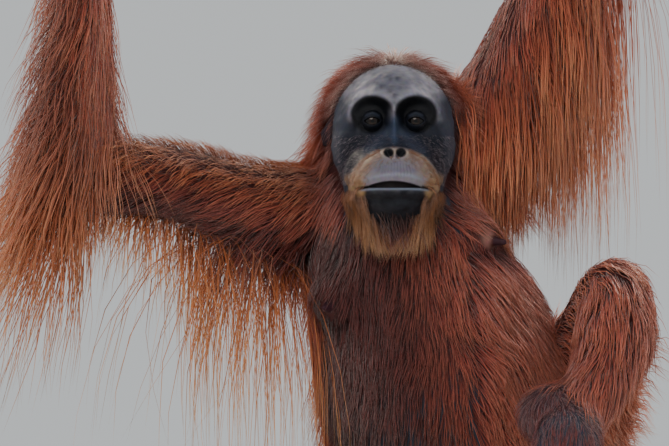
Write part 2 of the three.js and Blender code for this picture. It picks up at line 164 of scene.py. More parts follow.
def add_limb(stations, across=(1, 0, 0), spacing=0.3):
    """Balls along a smooth path of rows (x, y, z, half width, half depth) in mm."""
    total = sum(np.linalg.norm(np.subtract(b[:3], a[:3])) for a, b in zip(stations, stations[1:]))
    thinnest = min(min(row[3:5]) for row in stations)
    steps = max(2, round(total / (thinnest * spacing * 2)))
    for step in range(steps + 1):
        t = step / steps
        here = catmull(stations, t)
        ahead, behind = catmull(stations, min(1, t + 0.02)), catmull(stations, max(0, t - 0.02))
        along = Vector(ahead[:3] - behind[:3]).normalized()
        wide = Vector(across)
        wide = (wide - along * wide.dot(along)).normalized()
        deep = along.cross(wide)
        turn = Matrix((wide, deep, along)).transposed()
        add_ball(here[:3], (here[3], here[4], min(here[3], here[4])), turn, t, along)


RIGHT_WRIST = (-386, -76, 1168)
LEFT_WRIST = (205, -50, 1512)
LEFT_ANKLE = (200, -226, 568)
RIGHT_ANKLE = (-112, -238, 312)
LEFT_HOLD = (185, -232, 462)
RIGHT_HOLD = (-112, -240, 206)

TRUNK = [
    (-26, 18, 896, 60, 52), (-16, 13, 858, 100, 82), (-6, 6, 802, 114, 100), (12, -8, 722, 128, 112),
    (40, -18, 625, 146, 128), (64, -6, 532, 148, 130), (84, 16, 460, 122, 112), (94, 34, 412, 74, 72),
]
LIMBS = {
    "neck": [(-11, -18, 890, 60, 56), (-8, -2, 862, 70, 66), (-5, 10, 835, 84, 76)],
    "upper_arm_left": [
        (92, 12, 905, 58, 58), (112, 9, 945, 52, 54), (142, 7, 1005, 46, 46), (180, 4, 1090, 43, 42),
        (208, 2, 1155, 41, 40), (228, 0, 1205, 40, 38),
    ],
    "forearm_left": [
        (228, 0, 1205, 38, 40), (225, -10, 1275, 41, 40), (216, -29, 1370, 35, 33),
        (208, -44, 1450, 27, 23), (205, -50, 1504, 25, 18),
    ],
    "upper_arm_right": [
        (-98, 12, 812, 58, 58), (-140, -10, 815, 52, 54), (-200, -34, 826, 46, 46), (-268, -60, 848, 43, 42),
        (-335, -87, 855, 41, 40), (-399, -110, 859, 40, 38),
    ],
    "forearm_right": [
        (-399, -110, 859, 38, 40), (-401, -105, 920, 41, 40), (-398, -94, 1010, 36, 34),
        (-391, -83, 1095, 27, 24), (-386, -77, 1160, 25, 18),
    ],
    "thigh_left": [
        (150, 22, 480, 84, 80), (205, -8, 565, 70, 64), (240, -42, 655, 52, 50), (257, -72, 712, 41, 41),
    ],
    "shin_left": [
        (257, -74, 708, 41, 41), (257, -122, 664, 44, 42), (232, -182, 606, 34, 34), (203, -222, 574, 30, 26),
    ],
    "thigh_right": [
        (40, 36, 452, 80, 80), (-62, -26, 441, 64, 66), (-130, -76, 446, 50, 50), (-172, -105, 452, 41, 41),
    ],
    "shin_right": [
        (-172, -105, 450, 41, 41), (-158, -148, 410, 43, 42), (-134, -198, 356, 34, 34),
        (-113, -234, 318, 30, 26),
    ],
}
LEVEL_LIMBS = ("upper_arm_right", "thigh_right")

begin_limb("trunk")
add_limb(TRUNK)
for centre, halves in (
    ((-96, 30, 808), (58, 56, 56)), ((84, 30, 890), (58, 56, 60)), ((72, -52, 776), (46, 44, 44)),
    ((-66, -72, 706), (46, 40, 44)), ((140, 52, 462), (70, 64, 66)), ((50, 58, 452), (70, 62, 66)),
):
    add_ball(centre, halves, share=(896 - centre[2]) / 484)
for name, stations in LIMBS.items():
    begin_limb(name)
    add_limb(stations, across=(0, 0, 1) if name in LEVEL_LIMBS else (1, 0, 0))

# Hands and feet: a flat palm or sole, and digits that reach round the branch
HAND_BRANCH_RADIUS = 23
FOOT_BRANCH_RADIUS = 28
PALM_LENGTH = 102
FINGER_SPACING = 20.5
TOE_SPACING = 19
DIGIT_GAP = 12.0
HUB_DROP = 17 + HAND_BRANCH_RADIUS + 2
HUB_RISE = PALM_LENGTH + 8


def digit_arc(centre, reach, start, sweep_degrees, radius, knuckle=1.06):
    """Rows along an oval round a branch, from the root of a digit to its tip."""
    rows = []
    for share in (0, 0.2, 0.4, 0.6, 0.8, 1.0):
        angle = math.radians(start + sweep_degrees * share)
        half = radius * (1 - 0.2 * share) * (knuckle if share in (0.4, 0.8) else 1.0)
        y = centre[1] + math.cos(angle) * reach[0]
        z = centre[2] + math.sin(angle) * reach[1]
        rows.append((centre[0], y, z, half, half * 0.95))
    return rows


digit_tips = []
branch_slope = (LEFT_HOLD[2] - RIGHT_HOLD[2]) / (LEFT_HOLD[0] - RIGHT_HOLD[0])
for wrist, inward in ((LEFT_WRIST, -1), (RIGHT_WRIST, 1)):
    x, y, z = wrist
    begin_limb("hand")
    add_limb([(x, y, z - 6, 26, 18), (x, y, z + 20, 32, 17), (x, y, z + 60, 38, 16), (x, y, z + 92, 40, 14)])
    add_ball((x + inward * 26, y - 10, z + 34), (14, 14, 26))
    begin_limb("digit")
    centre = (x, y - HUB_DROP, z + HUB_RISE)
    reach = HAND_BRANCH_RADIUS + DIGIT_GAP
    for order in range(4):
        dx = inward * (1.5 - order) * FINGER_SPACING
        tilt = dx / 260 * 16
        wrap = 192 if order < 3 else 168
        hub = (x + dx, centre[1], centre[2] + tilt)
        rows = digit_arc(hub, (reach, reach), -14, wrap, 9.4)
        add_limb(rows)
        digit_tips.append((rows, hub))
    rows = [(x + inward * 34, y - 4, z + 30, 9.5, 9.5), (x + inward * 46, y - 24, z + 52, 8.6, 8.6),
            (x + inward * 48, y - 47, z + 65, 7, 7)]
    add_limb(rows)
    digit_tips.append((rows, (x + inward * 48, y - 60, z + 45)))

for ankle, hold, inward in ((LEFT_ANKLE, LEFT_HOLD, -1), (RIGHT_ANKLE, RIGHT_HOLD, 1)):
    x, y, z = ankle
    begin_limb("foot")
    sole = hold[1] - FOOT_BRANCH_RADIUS - 3
    add_limb([
        (x, y + 8, z + 4, 30, 28), (x - 8, sole - 12, z - 22, 38, 26),
        (x - 14, sole - 19, hold[2] + 36, 41, 18), (hold[0], sole - 15, hold[2], 39, 14),
    ])
    add_ball((x + 2, y + 22, z - 18), (26, 30, 26))
    add_ball((x - 14, y + 6, z + 2), (50, 38, 38))
    begin_limb("digit")
    reach_y = FOOT_BRANCH_RADIUS + DIGIT_GAP
    reach_z = reach_y / math.cos(math.atan(branch_slope))
    for order in range(4):
        dx = inward * (1.5 - order) * TOE_SPACING
        hub = (hold[0] + dx, hold[1], hold[2] + dx * branch_slope)
        rows = digit_arc(hub, (reach_y, reach_z), 184, 140, 9.2)
        add_limb(rows)
        digit_tips.append((rows, hub))
    great_x = inward * 36
    rows = digit_arc((hold[0] + great_x, hold[1], hold[2] + great_x * branch_slope + 4),
                     (reach_y + 1, reach_z + 1), 120, -104, 10.2)
    add_limb(rows)
    digit_tips.append((rows, (hold[0] + great_x, hold[1], hold[2] + great_x * branch_slope)))

# Nipples: bare dark stubs that point out and a little down
NIPPLE_PLACES = (((98, -72, 780), (124, -89, 776)), ((-86, -84, 700), (-97, -114, 696)))
begin_limb("nipple")
for root, tip in NIPPLE_PLACES:
    add_limb([(*root, 10, 10), (*np.add(root, np.subtract(tip, root) * 0.6), 7, 7), (*tip, 5.5, 5.5)])

# Head: braincase, broad cheeks, and a muzzle that slopes out from the nose bridge to the lips
begin_limb("head")
for centre, halves in (
    ((FACE_MID, -50, 925), (78, 84, 75)), ((FACE_MID, -70, 892), (77, 62, 62)),
    ((FACE_MID, -88, 845), (62, 62, 46)), ((FACE_MID, -120, 857), (60, 56, 48)),
    ((FACE_MID, -150, 849), (55, 50, 45)), ((FACE_MID, -166, 843), (44, 40, 37)),
    ((FACE_MID, -130, 820), (46, 56, 28)),
):
    add_ball(centre, halves)
for side in (-1, 1):
    ear_turn = Matrix.Rotation(side * math.radians(25), 3, "Z")
    add_ball((FACE_MID + side * 82, -38, 912), (6, 14, 19), ear_turn)

# The balls fused into one hide, with the trunk and limbs thinned out and the face kept fine
bpy.ops.object.select_all(action="DESELECT")
bpy.ops.mesh.primitive_uv_sphere_add(segments=20, ring_count=12, radius=1, location=(0, 0, 0))
skin = bpy.context.active_object
skin.name = "skin"


def fill_with_balls(target, shapes):
    """Swaps the one ball of a mesh for many, each with its own centre (mm) and 3 x 3 matrix."""
    ball_points = np.array([vertex.co for vertex in target.data.vertices])
    ball_faces = [list(face.vertices) for face in target.data.polygons]
    all_points = []
    all_faces = []
    for centre, matrix in shapes:
        first = len(all_points) * len(ball_points)
        all_points.append((ball_points @ matrix.T + centre) * MM)
        all_faces.extend([[first + corner for corner in face] for face in ball_faces])
    target.data.clear_geometry()
    target.data.from_pydata(np.vstack(all_points), [], all_faces)


fill_with_balls(skin, balls)
SKIN_VOXEL = 3.5 * MM
fuse = skin.modifiers.new("fuse", "REMESH")
fuse.mode = "VOXEL"
fuse.voxel_size = SKIN_VOXEL
bpy.ops.object.modifier_apply(modifier=fuse.name)
settle = skin.modifiers.new("settle", "SMOOTH")
settle.factor = 0.5
settle.iterations = 12
bpy.ops.object.modifier_apply(modifier=settle.name)


def skin_points():
    points = np.empty(len(skin.data.vertices) * 3, np.float32)
    skin.data.vertices.foreach_get("co", points)
    return points.reshape(-1, 3).astype(float) / MM


def skin_normals():
    normals = np.empty(len(skin.data.vertices) * 3, np.float32)
    skin.data.vertex_normals.foreach_get("vector", normals)
    return normals.reshape(-1, 3).astype(float)


def set_skin_points(points):
    skin.data.vertices.foreach_set("co", (points * MM).astype(np.float32).ravel())
    skin.data.update()


WRIST_HEIGHT = 1160
FACE_LOW = 785
points = skin_points()
kept_fine = (points[:, 1] < -76) & (points[:, 2] > FACE_LOW) & (np.abs(points[:, 0] - FACE_MID) < 84)
for root, tip in NIPPLE_PLACES:
    kept_fine |= np.linalg.norm(points - tip, axis=1) < 30
hands_feet = (points[:, 2] > WRIST_HEIGHT) | ((points[:, 1] < -185) & (points[:, 2] < 600))
thin_group = skin.vertex_groups.new(name="thin")
thin_group.add(np.nonzero(~hands_feet & ~kept_fine)[0].tolist(), 1.0, "REPLACE")
thin_group.add(np.nonzero(hands_feet)[0].tolist(), 0.25, "REPLACE")
thin = skin.modifiers.new("thin", "DECIMATE")
thin.ratio = 0.2
thin.vertex_group = thin_group.name
bpy.ops.object.modifier_apply(modifier=thin.name)
skin.vertex_groups.clear()

for cuts in range(2):
    points = skin_points()
    front = (points[:, 1] < -84) & (points[:, 2] > FACE_LOW) & (np.abs(points[:, 0] - FACE_MID) < 82)
    if cuts == 1:
        front &= (points[:, 1] < -104) & (points[:, 2] > 822) & (points[:, 2] < 958)
        front &= np.abs(points[:, 0] - FACE_MID) < 60
    bpy.ops.object.mode_set(mode="EDIT")
    bpy.ops.mesh.select_mode(type="VERT")
    bpy.ops.mesh.select_all(action="DESELECT")
    bpy.ops.object.mode_set(mode="OBJECT")
    skin.data.vertices.foreach_set("select", front)
    bpy.ops.object.mode_set(mode="EDIT")
    bpy.ops.mesh.subdivide(number_cuts=1)
    bpy.ops.object.mode_set(mode="OBJECT")


# Face, modelled on the fine part of the skin: brow, deep eye hollows with lids, thin nose bridge, nostrils,
# the crease round the muzzle, the long lips with their slit, and wrinkles. Distances are in mm.
def away_from_line(points, line):
    """Distance of each point to a line of two or more (x, z) places, seen from the front."""
    flat = points[:, [0, 2]]
    nearest = np.full(len(flat), 1e9)
    for a, b in zip(line, line[1:]):
        a, b = np.array(a, float), np.array(b, float)
        share = np.clip((flat - a) @ (b - a) / max((b - a) @ (b - a), 1e-9), 0, 1)
        nearest = np.minimum(nearest, np.linalg.norm(flat - a - share[:, None] * (b - a), axis=1))
    return nearest


def rounded(amount):
    amount = np.clip(amount, 0, 1)
    return amount * amount * (3 - 2 * amount)


def value_noise(points, cell, seed):
    """Smooth random values, -1 to 1, that change over about one cell (mm)."""
    table = np.random.default_rng(seed).uniform(-1, 1, (32, 32, 32))
    place = points / cell
    low = np.floor(place).astype(int)
    part = rounded(place - low)
    total = np.zeros(len(points))
    for corner in range(8):
        step = np.array([corner & 1, corner >> 1 & 1, corner >> 2 & 1])
        weight = np.prod(np.where(step, part, 1 - part), axis=1)
        index = (low + step) % 32
        total += weight * table[index[:, 0], index[:, 1], index[:, 2]]
    return total


EYE_HALF_GAP = 26.5
EYE_HEIGHT = 924.0
EYE_PLACES = ((FACE_MID - EYE_HALF_GAP, EYE_HEIGHT), (FACE_MID + EYE_HALF_GAP, EYE_HEIGHT))
EYE_Y = -118.0
EYEBALL = 11.5

points = skin_points()
skin_x, skin_y, skin_z = points.T
on_face = (skin_y < -70) & (skin_z > 780) & (np.abs(skin_x - FACE_MID) < 95)


def beside(line, width):
    """1 on a line on the face, fading to 0 on both sides of it."""
    return np.exp(-(away_from_line(points, line) / width) ** 2) * on_face


def stroke(line, width, height, outward=True):
    """Raises the skin by height along a line, or sinks it where height is negative."""
    move = height * beside(line, width)
    if outward:
        points[:] += skin_normals() * move[:, None]
    else:
        skin_y[:] -= move


def mirrored(line):
    return [(2 * FACE_MID - x, z) for x, z in line]


def both_sides(line, width, height, outward=True):
    stroke(line, width, height, outward)
    stroke(mirrored(line), width, height, outward)


both_sides([(-66, 934), (-54, 950), (-36, 957), (-18, 950)], 9, 7.0, outward=False)
stroke([(FACE_MID, 950), (FACE_MID, 938)], 12, 3.0, outward=False)
both_sides([(-80, 920), (-76, 880), (-66, 856)], 10, 3.0)
both_sides([(-64, 905), (-58, 880)], 11, 3.5)
for eye_x, eye_z in EYE_PLACES:
    outer = -1 if eye_x < FACE_MID else 1
    across = (skin_x - eye_x - outer * 1.5) / 23
    up = (skin_z - eye_z - 6) / np.where(skin_z > eye_z + 6, 19, 21)
    deep = rounded((1.35 - np.sqrt(across ** 2 + up ** 2)) / 0.7) * on_face
    floor_y = EYE_Y - 0.5 + 0.1 * np.abs(skin_z - eye_z)
    skin_y += deep * np.maximum(0, floor_y - skin_y)
stroke([(FACE_MID, 936), (FACE_MID, 915), (FACE_MID, 897)], 5.0, 7.0, outward=False)
stroke([(FACE_MID - 3, 886), (FACE_MID + 3, 886)], 10, 5.0, outward=False)
for eye_x, eye_z in EYE_PLACES:
    across = skin_x - eye_x
    up = skin_z - eye_z
    lid = 12.6 + 0.7 * rounded(up / 6)
    reach = lid ** 2 - across ** 2 - up ** 2
    lid_y = EYE_Y - np.sqrt(np.maximum(reach, 0))
    covered = on_face & (reach > 0)
    skin_y[covered] = np.minimum(skin_y[covered], lid_y[covered])
    slit = 4.9 * (1 - (across / 10.2) ** 2) - np.abs(up - 0.4 + 0.02 * across * np.sign(eye_x - FACE_MID))
    opened = rounded(slit / 1.2) * on_face
    skin_y += opened * np.maximum(0, EYE_Y + 2 - skin_y)
    ring = [(eye_x + 13.5 * math.cos(a), eye_z + 9.5 * math.sin(a)) for a in np.linspace(0, 2 * math.pi, 17)]
    stroke(ring, 1.3, -1.0)
    ring = [(eye_x + 17 * math.cos(a), eye_z - 1 + 13 * math.sin(a)) for a in np.linspace(3.4, 6.0, 9)]
    stroke(ring, 1.6, -1.2)

# Nostrils, muzzle crease, lips and the fine wrinkles of lip and cheek
stroke([(-25, 882), (-23, 890), (-12, 892), (1, 890), (3, 882)], 3.0, 2.0)
both_sides([(-22, 887), (-17, 883)], 3.6, -6.5)
both_sides([(-17, 884), (-16, 881)], 2.6, -3.0)
stroke([(FACE_MID, 889), (FACE_MID, 878)], 1.6, 1.2)
MUZZLE_EDGE = [
    (-67, 846), (-60, 864), (-48, 879), (-27, 891), (-12, 894), (3, 891), (24, 879), (36, 864), (43, 846),
]
stroke(MUZZLE_EDGE, 3.6, -3.0)
stroke([(x * 0.93 - 0.8, z - 8) for x, z in MUZZLE_EDGE], 6.0, 1.6)
MOUTH = [(-57, 842), (-44, 846), (-30, 849.5), (-12, 850.5), (6, 849.5), (20, 846), (33, 842)]
stroke([(x, z + 9) for x, z in MOUTH], 4.5, 2.4)
LOWER_LIP = [(-52, 840), (-30, 841), (FACE_MID, 841), (6, 841), (28, 840)]
stroke([(x, z - 4) for x, z in LOWER_LIP], 4.0, 2.8)
MOUTH_CORNER = [(-58, 841), (-46, 843)]
both_sides(MOUTH_CORNER, 1.8, -3.0)
parted = 8.5 * (1 - ((skin_x + 14) / 36) ** 2)
gap = rounded((842.5 + parted - skin_z) / 1.6) * rounded((skin_z - 841.5) / 1.6)
gap = gap * on_face * (skin_y < -110)
skin_y += 6 * gap
stroke([(x * 0.9 - 1, z - 14) for x, z in LOWER_LIP], 4.0, -1.6)
wrinkles = np.random.default_rng(5)
for x in np.arange(-30, 7, 3.6):
    lean = (x - FACE_MID) * 0.12
    top = 875 - abs(x - FACE_MID) * 0.3 + wrinkles.uniform(-2, 2)
    stroke([(x, top), (x + lean, 859 - wrinkles.uniform(0, 3))], 1.0, -0.8)
for order in range(5):
    start_x, start_z = -27 - order * 5.5, 911 - order * 1.5
    line = [(start_x, start_z), (start_x - 9, start_z - 9 + order), (start_x - 15, start_z - 22 + order)]
    both_sides(line, 1.7, -0.8)
points += skin_normals() * (value_noise(points, 7, 11) * 0.7 * on_face)[:, None]
set_skin_points(points)

# Colour of the hide: slate body, blue-black cheeks and eye hollows, grey forehead, and a grey-buff muzzle
SLATE, INK, ASH, PALE = "#3d4250", "#121624", "#8a8a99", "#a3a2b2"
hue = np.tile(np.array(srgb(SLATE)[:3]), (len(points), 1))


def paint(colour, weight):
    weight = np.clip(weight, 0, 1)[:, None]
    hue[:] = hue * (1 - weight) + np.array(srgb(colour)[:3]) * weight


def near(x, z, half_x, half_z, soft=0.5):
    """1 inside an oval on the face, fading to 0 outside it."""
    ratio = np.sqrt(((skin_x - x) / half_x) ** 2 + ((skin_z - z) / half_z) ** 2)
    return rounded((1 + soft - ratio) / soft) * on_face


mottle = value_noise(points, 9, 21) * 0.6 + value_noise(points, 4, 22) * 0.4
side_of_face = np.abs(skin_x - FACE_MID)
paint("#4a4f5e", near(FACE_MID, 880, 84, 80) * 0.95)
paint(ASH, near(FACE_MID, 980, 66, 30, 0.5) * (0.85 + 0.3 * mottle))
paint("#3a3d4c", near(FACE_MID - 6, 966, 15, 15, 0.9) * (0.45 + 0.9 * mottle))
paint(INK, near(FACE_MID, 893, 55, 46, 0.35) * (0.85 + 0.3 * mottle))
for eye_x, eye_z in EYE_PLACES:
    outer = -1 if eye_x < FACE_MID else 1
    middle_x = eye_x + outer * 0.5
    cheek = [(eye_x + outer * 10, 898), (eye_x + outer * 22, 880), (eye_x + outer * 26, 862)]
    paint(INK, beside(cheek, 15) * 0.85)
    rim = [(middle_x + 27 * math.cos(a), 934 + 25 * math.sin(a)) for a in np.linspace(-0.2, 3.34, 16)]
    paint(PALE, beside(rim, 5) * (0.6 + 0.4 * mottle))
    paint("#080b14", near(middle_x, 933, 23, 20, 0.28))
    paint("#1a1f2c", near(eye_x, eye_z, 11, 7.5, 0.35) * 0.6)
    fold = [(eye_x - 8, eye_z + 7), (eye_x, eye_z + 10), (eye_x + 8, eye_z + 7)]
    paint("#343b4a", beside(fold, 1.6) * 0.7)
paint("#3c4a64", beside([(FACE_MID, 926), (FACE_MID, 900)], 5) * 0.9)
lines = [(-20, 910), (-30, 902), (-44, 888)]
for line in (lines, mirrored(lines)):
    streaks = np.abs(np.sin(skin_z * 1.3 + side_of_face * 0.9))
    paint("#55617a", beside(line, 8) * 0.55 * streaks)
muzzle_part = near(FACE_MID, 846, 50.5, 42.5, 0.12) * (skin_y < -108)
muzzle_part *= rounded((skin_z - 833) / 8)
paint("#8b8490", muzzle_part)
outer_lip = rounded((np.hypot((skin_x - FACE_MID) / 50, (skin_z - 846) / 44) - 0.55) / 0.35)
paint("#b8a28e", muzzle_part * outer_lip * (0.85 + 0.3 * mottle) * rounded((899 - skin_z) / 16))
paint("#6d6f82", near(FACE_MID, 869, 22, 11, 0.7) * 0.6 * (0.8 + 0.6 * mottle))
paint("#12151f", near(FACE_MID, 822, 48, 22, 0.3) * (skin_y < -80) * (0.85 + 0.3 * mottle))
corner_fluff = near(FACE_MID - 52, 838, 12, 16, 0.6) + near(FACE_MID + 52, 838, 12, 16, 0.6)
paint("#b08c66", corner_fluff * 0.8 * (skin_y < -122))
# The pale blue lines along the raised upper lip roll and along the lower lip are painted highlights.
paint("#9fa4b6", beside([(-48, 852), (-30, 857), (-12, 858.5), (6, 857), (24, 852)], 2.4) * 0.6)
paint("#8f9aae", beside(LOWER_LIP, 1.5) * 0.75)
# The near-black mouth slit and mouth corners are painted shade in these sunken recesses.
paint("#170b0c", gap)
paint("#14100f", beside(MOUTH_CORNER, 1.6))
paint("#14100f", beside(mirrored(MOUTH_CORNER), 1.6))
# The near-black nostril openings are painted shade inside the sunken nostrils.
for side in (-1, 1):
    paint("#0c0e16", near(FACE_MID + side * 7.5, 885, 5, 4.6, 0.5))
hairy = ~on_face & (skin_z > 590) & (skin_z < 1170)
OVAL_HEIGHT, OVAL_HALF_WIDTH, OVAL_HALF_UP, OVAL_HALF_DOWN = 905, 76, 87, 112
above_oval = np.hypot((skin_x - FACE_MID) / OVAL_HALF_WIDTH, (skin_z - OVAL_HEIGHT) / OVAL_HALF_UP) > 1.03
hairy |= on_face & above_oval & (skin_z > OVAL_HEIGHT)
paint("#4a1f18", hairy * 0.85)
hue[on_face] *= 0.74
for root, tip in NIPPLE_PLACES:
    paint("#a8766c", rounded((19 - np.linalg.norm(points - root, axis=1)) / 6))
    paint("#3c222b", rounded((16 - np.linalg.norm(points - tip, axis=1)) / 4))
ear_part = (side_of_face > 74) & (np.abs(skin_z - 912) < 30) & (np.abs(skin_y + 38) < 24)
paint("#3f3a44", ear_part)
LEFT_INSTEP = (184, -214, 612)
paint("#4c343a", rounded((84 - np.linalg.norm(points - LEFT_INSTEP, axis=1)) / 22))
hue *= (1 + 0.16 * mottle + 0.1 * value_noise(points, 30, 23))[:, None]


def set_tints(mesh, name, colours):
    """Stores a colour (red, green, blue, 1) for each point of a mesh."""
    layer = mesh.color_attributes.new(name, "FLOAT_COLOR", "POINT")
    layer.data.foreach_set("color", colours.astype(np.float32).ravel())


def surface_texture(material, kind, settings, stretch=None):
    """A texture over the whole solid, by its own coordinates in metres."""
    where = (add_node(material, "ShaderNodeTexCoord"), "Object")
    if stretch:
        where = (add_node(material, "ShaderNodeMapping", {"Scale": stretch}, {"Vector": where}), "Vector")
    return add_node(material, kind, settings, {"Vector": where})


def tint_by(material, shader, attribute, texture, strength):
    """Takes the base colour from the points' colours, darkened here and there by a texture."""
    tint = add_node(material, "ShaderNodeAttribute", {"attribute_name": attribute})
    mix = add_node(material, "ShaderNodeMix", {"data_type": "RGBA", "blend_type": "MULTIPLY", 0: strength},
                   {6: (tint, "Color"), 7: (texture, "Color")})
    link(material, mix, 2, shader, "Base Color")


def choose(target):
    bpy.ops.object.select_all(action="DESELECT")
    target.select_set(True)
    bpy.context.view_layer.objects.active = target


set_tints(skin.data, "hide_colour", np.hstack([np.clip(hue, 0, 1), np.ones((len(hue), 1))]))
hide, hide_shader = new_material("hide", {"Roughness": 0.6, "Specular IOR Level": 0.18})
PORE_SIZE_M = 0.0022
GRAIN_SIZE_M = 0.006
pores = surface_texture(hide, "ShaderNodeTexVoronoi",
                        {"Scale": 1 / PORE_SIZE_M, "feature": "DISTANCE_TO_EDGE"})
grain = surface_texture(hide, "ShaderNodeTexNoise", {"Scale": 1 / GRAIN_SIZE_M, "Detail": 4.0})
tint_by(hide, hide_shader, "hide_colour", grain, 0.35)
crease = add_node(hide, "ShaderNodeBump", {"Strength": 0.35, "Distance": 0.0006},
                  {"Height": (pores, "Distance")})
rough = add_node(hide, "ShaderNodeBump", {"Strength": 0.5, "Distance": 0.001},
                 {"Height": (grain, 0), "Normal": (crease, "Normal")})
link(hide, rough, "Normal", hide_shader, "Normal")
skin.data.materials.append(hide)
choose(skin)
bpy.ops.object.shade_smooth()
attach(skin, "root")
flesh = [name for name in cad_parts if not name.startswith(("eye_", "perch_", "stand_"))]
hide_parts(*flesh)


# Eyes: dark brown balls with a reddish-brown iris and a black pupil under a wet gloss, 23 mm across.
eye_gloss, eye_shader = new_material("eye", {"Roughness": 0.12, "Specular IOR Level": 0.3})
IRIS_THREAD_M = 0.0012
PUPIL = 2.3
IRIS = 5.2
threads = surface_texture(eye_gloss, "ShaderNodeTexNoise", {"Scale": 1 / IRIS_THREAD_M})
tint_by(eye_gloss, eye_shader, "eye_colour", threads, 0.4)

for name, (eye_x, eye_z) in zip(("eye_right", "eye_left"), EYE_PLACES):
    bpy.ops.object.select_all(action="DESELECT")
    bpy.ops.mesh.primitive_uv_sphere_add(
        segments=32, ring_count=40, radius=EYEBALL * MM, rotation=(math.radians(90), 0, 0),
        location=(eye_x * MM, EYE_Y * MM, eye_z * MM),
    )
    ball = bpy.context.active_object
    ball.name = name + "_ball"
    bpy.ops.object.transform_apply()
    bpy.ops.object.shade_smooth()
    places = np.array([vertex.co for vertex in ball.data.vertices]) / MM
    off_axis = np.hypot(places[:, 0] - eye_x, places[:, 2] - eye_z)
    rings = np.where(off_axis < PUPIL, 0, np.where(off_axis < IRIS, 1, 2))
    shades = np.array([srgb("#030303"), srgb("#1f110c"), srgb("#0e0a09")])[rings]
    shades[places[:, 1] > EYE_Y] = srgb("#0e0a09")
    set_tints(ball.data, "eye_colour", shades)
    ball.data.materials.append(eye_gloss)
    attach(ball, "root")
    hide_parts(name)


# Nails: dark horn plates, slightly domed, one on the back of each finger, thumb and toe near its tip.
nail_horn, nail_shader = new_material("dark horn", {"Roughness": 0.35})
RIDGE_SIZE_M = 0.003
ridges = surface_texture(nail_horn, "ShaderNodeTexNoise", {"Scale": 1 / RIDGE_SIZE_M, "Detail": 3.0})
nail_tone = add_node(nail_horn, "ShaderNodeMix",
                     {"data_type": "RGBA", 6: srgb("#2a2624"), 7: srgb("#4b423c")}, {0: (ridges, 0)})
link(nail_horn, nail_tone, 2, nail_shader, "Base Color")


def turn_outwards(target):
    """Turns every face of a closed mesh to look outwards."""
    choose(target)
    bpy.ops.object.mode_set(mode="EDIT")
    bpy.ops.mesh.select_all(action="SELECT")
    bpy.ops.mesh.normals_make_consistent(inside=False)
    bpy.ops.object.mode_set(mode="OBJECT")


NAIL_HALF_THICKNESS = 2.2
bpy.ops.object.select_all(action="DESELECT")
bpy.ops.mesh.primitive_uv_sphere_add(segments=14, ring_count=8, radius=1)
nails = bpy.context.active_object
nails.name = "nails"
nail_shapes = []
for rows, hub in digit_tips:
    tip, before = Vector(rows[-1][:3]), Vector(rows[-2][:3])
    along = (tip - before).normalized()
    out = (tip - Vector(hub)).normalized()
    out = (out - along * out.dot(along)).normalized()
    wide = along.cross(out)
    half = rows[-1][3]
    halves = [half * 0.72, half * 0.85, NAIL_HALF_THICKNESS]
    axes = np.array(Matrix((wide, along, out)).transposed()) @ np.diag(halves)
    centre = np.array(tip + out * (half - 0.4) + along * half * 0.35)
    nail_shapes.append((centre, axes))
fill_with_balls(nails, nail_shapes)
turn_outwards(nails)
bpy.ops.object.shade_smooth()
nails.data.materials.append(nail_horn)
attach(nails, "root")


# Coat: long coarse hair in thin tapered locks, each a closed three-sided spike that leaves the skin, lies
# along the body, bends down under its weight and joins its neighbours. Roots are dark and tips golden-red.
# This is partly the hair's own colour, partly painted shade deep in the coat and painted back light at the
# tips.
skin.data.calc_loop_triangles()
corner_ids = np.empty(len(skin.data.loop_triangles) * 3, np.int32)
skin.data.loop_triangles.foreach_get("vertices", corner_ids)
corner_ids = corner_ids.reshape(-1, 3)
points = skin_points()
normals = skin_normals()
corners = points[corner_ids]
areas = np.linalg.norm(np.cross(corners[:, 1] - corners[:, 0], corners[:, 2] - corners[:, 0]), axis=1) / 2
middles = corners.mean(axis=1)
skin_tree = BVHTree.FromPolygons(points.tolist(), corner_ids.tolist())

ball_centres = np.array([centre for centre, matrix in balls])
ball_facts = np.array(ball_limb)


def nearest_ball(places):
    """The ball of flesh under each place, for its limb, its share of the limb's length and its axis."""
    owner = np.zeros(len(places), int)
    least = np.full(len(places), 1e9)
    for index, (centre, matrix) in enumerate(balls):
        away = (places - centre) @ np.linalg.inv(matrix).T
        reach = (away * away).sum(axis=1)
        closer = reach < least
        owner[closer] = index
        least[closer] = reach[closer]
    return owner


middle_ball = nearest_ball(middles)
middle_limb = ball_facts[middle_ball, 0].astype(int)
LIMB = {name: [i for i, other in enumerate(limb_names) if other == name] for name in set(limb_names)}


def of_limb(limb, *names):
    return np.isin(limb, [index for name in names for index in LIMB[name]])


def unit(vectors):
    return vectors / np.maximum(np.linalg.norm(vectors, axis=-1, keepdims=True), 1e-9)


def directions(x, y, z):
    """Rows of (x, y, z), each of them one number for all hairs or one for each."""
    return np.stack(np.broadcast_arrays(x, y, z), axis=-1)


def face_oval(p):
    """Below 1 inside the bare oval of the face, seen from the front."""
    half_up = np.where(p[:, 2] > OVAL_HEIGHT, OVAL_HALF_UP, OVAL_HALF_DOWN)
    return np.sqrt(((p[:, 0] - FACE_MID) / OVAL_HALF_WIDTH) ** 2 + ((p[:, 2] - OVAL_HEIGHT) / half_up) ** 2)


def muzzle_oval(x, z):
    """Below 1 inside the oval of the muzzle, seen from the front."""
    return np.hypot((x - FACE_MID) / 50, (z - 846) / 43)


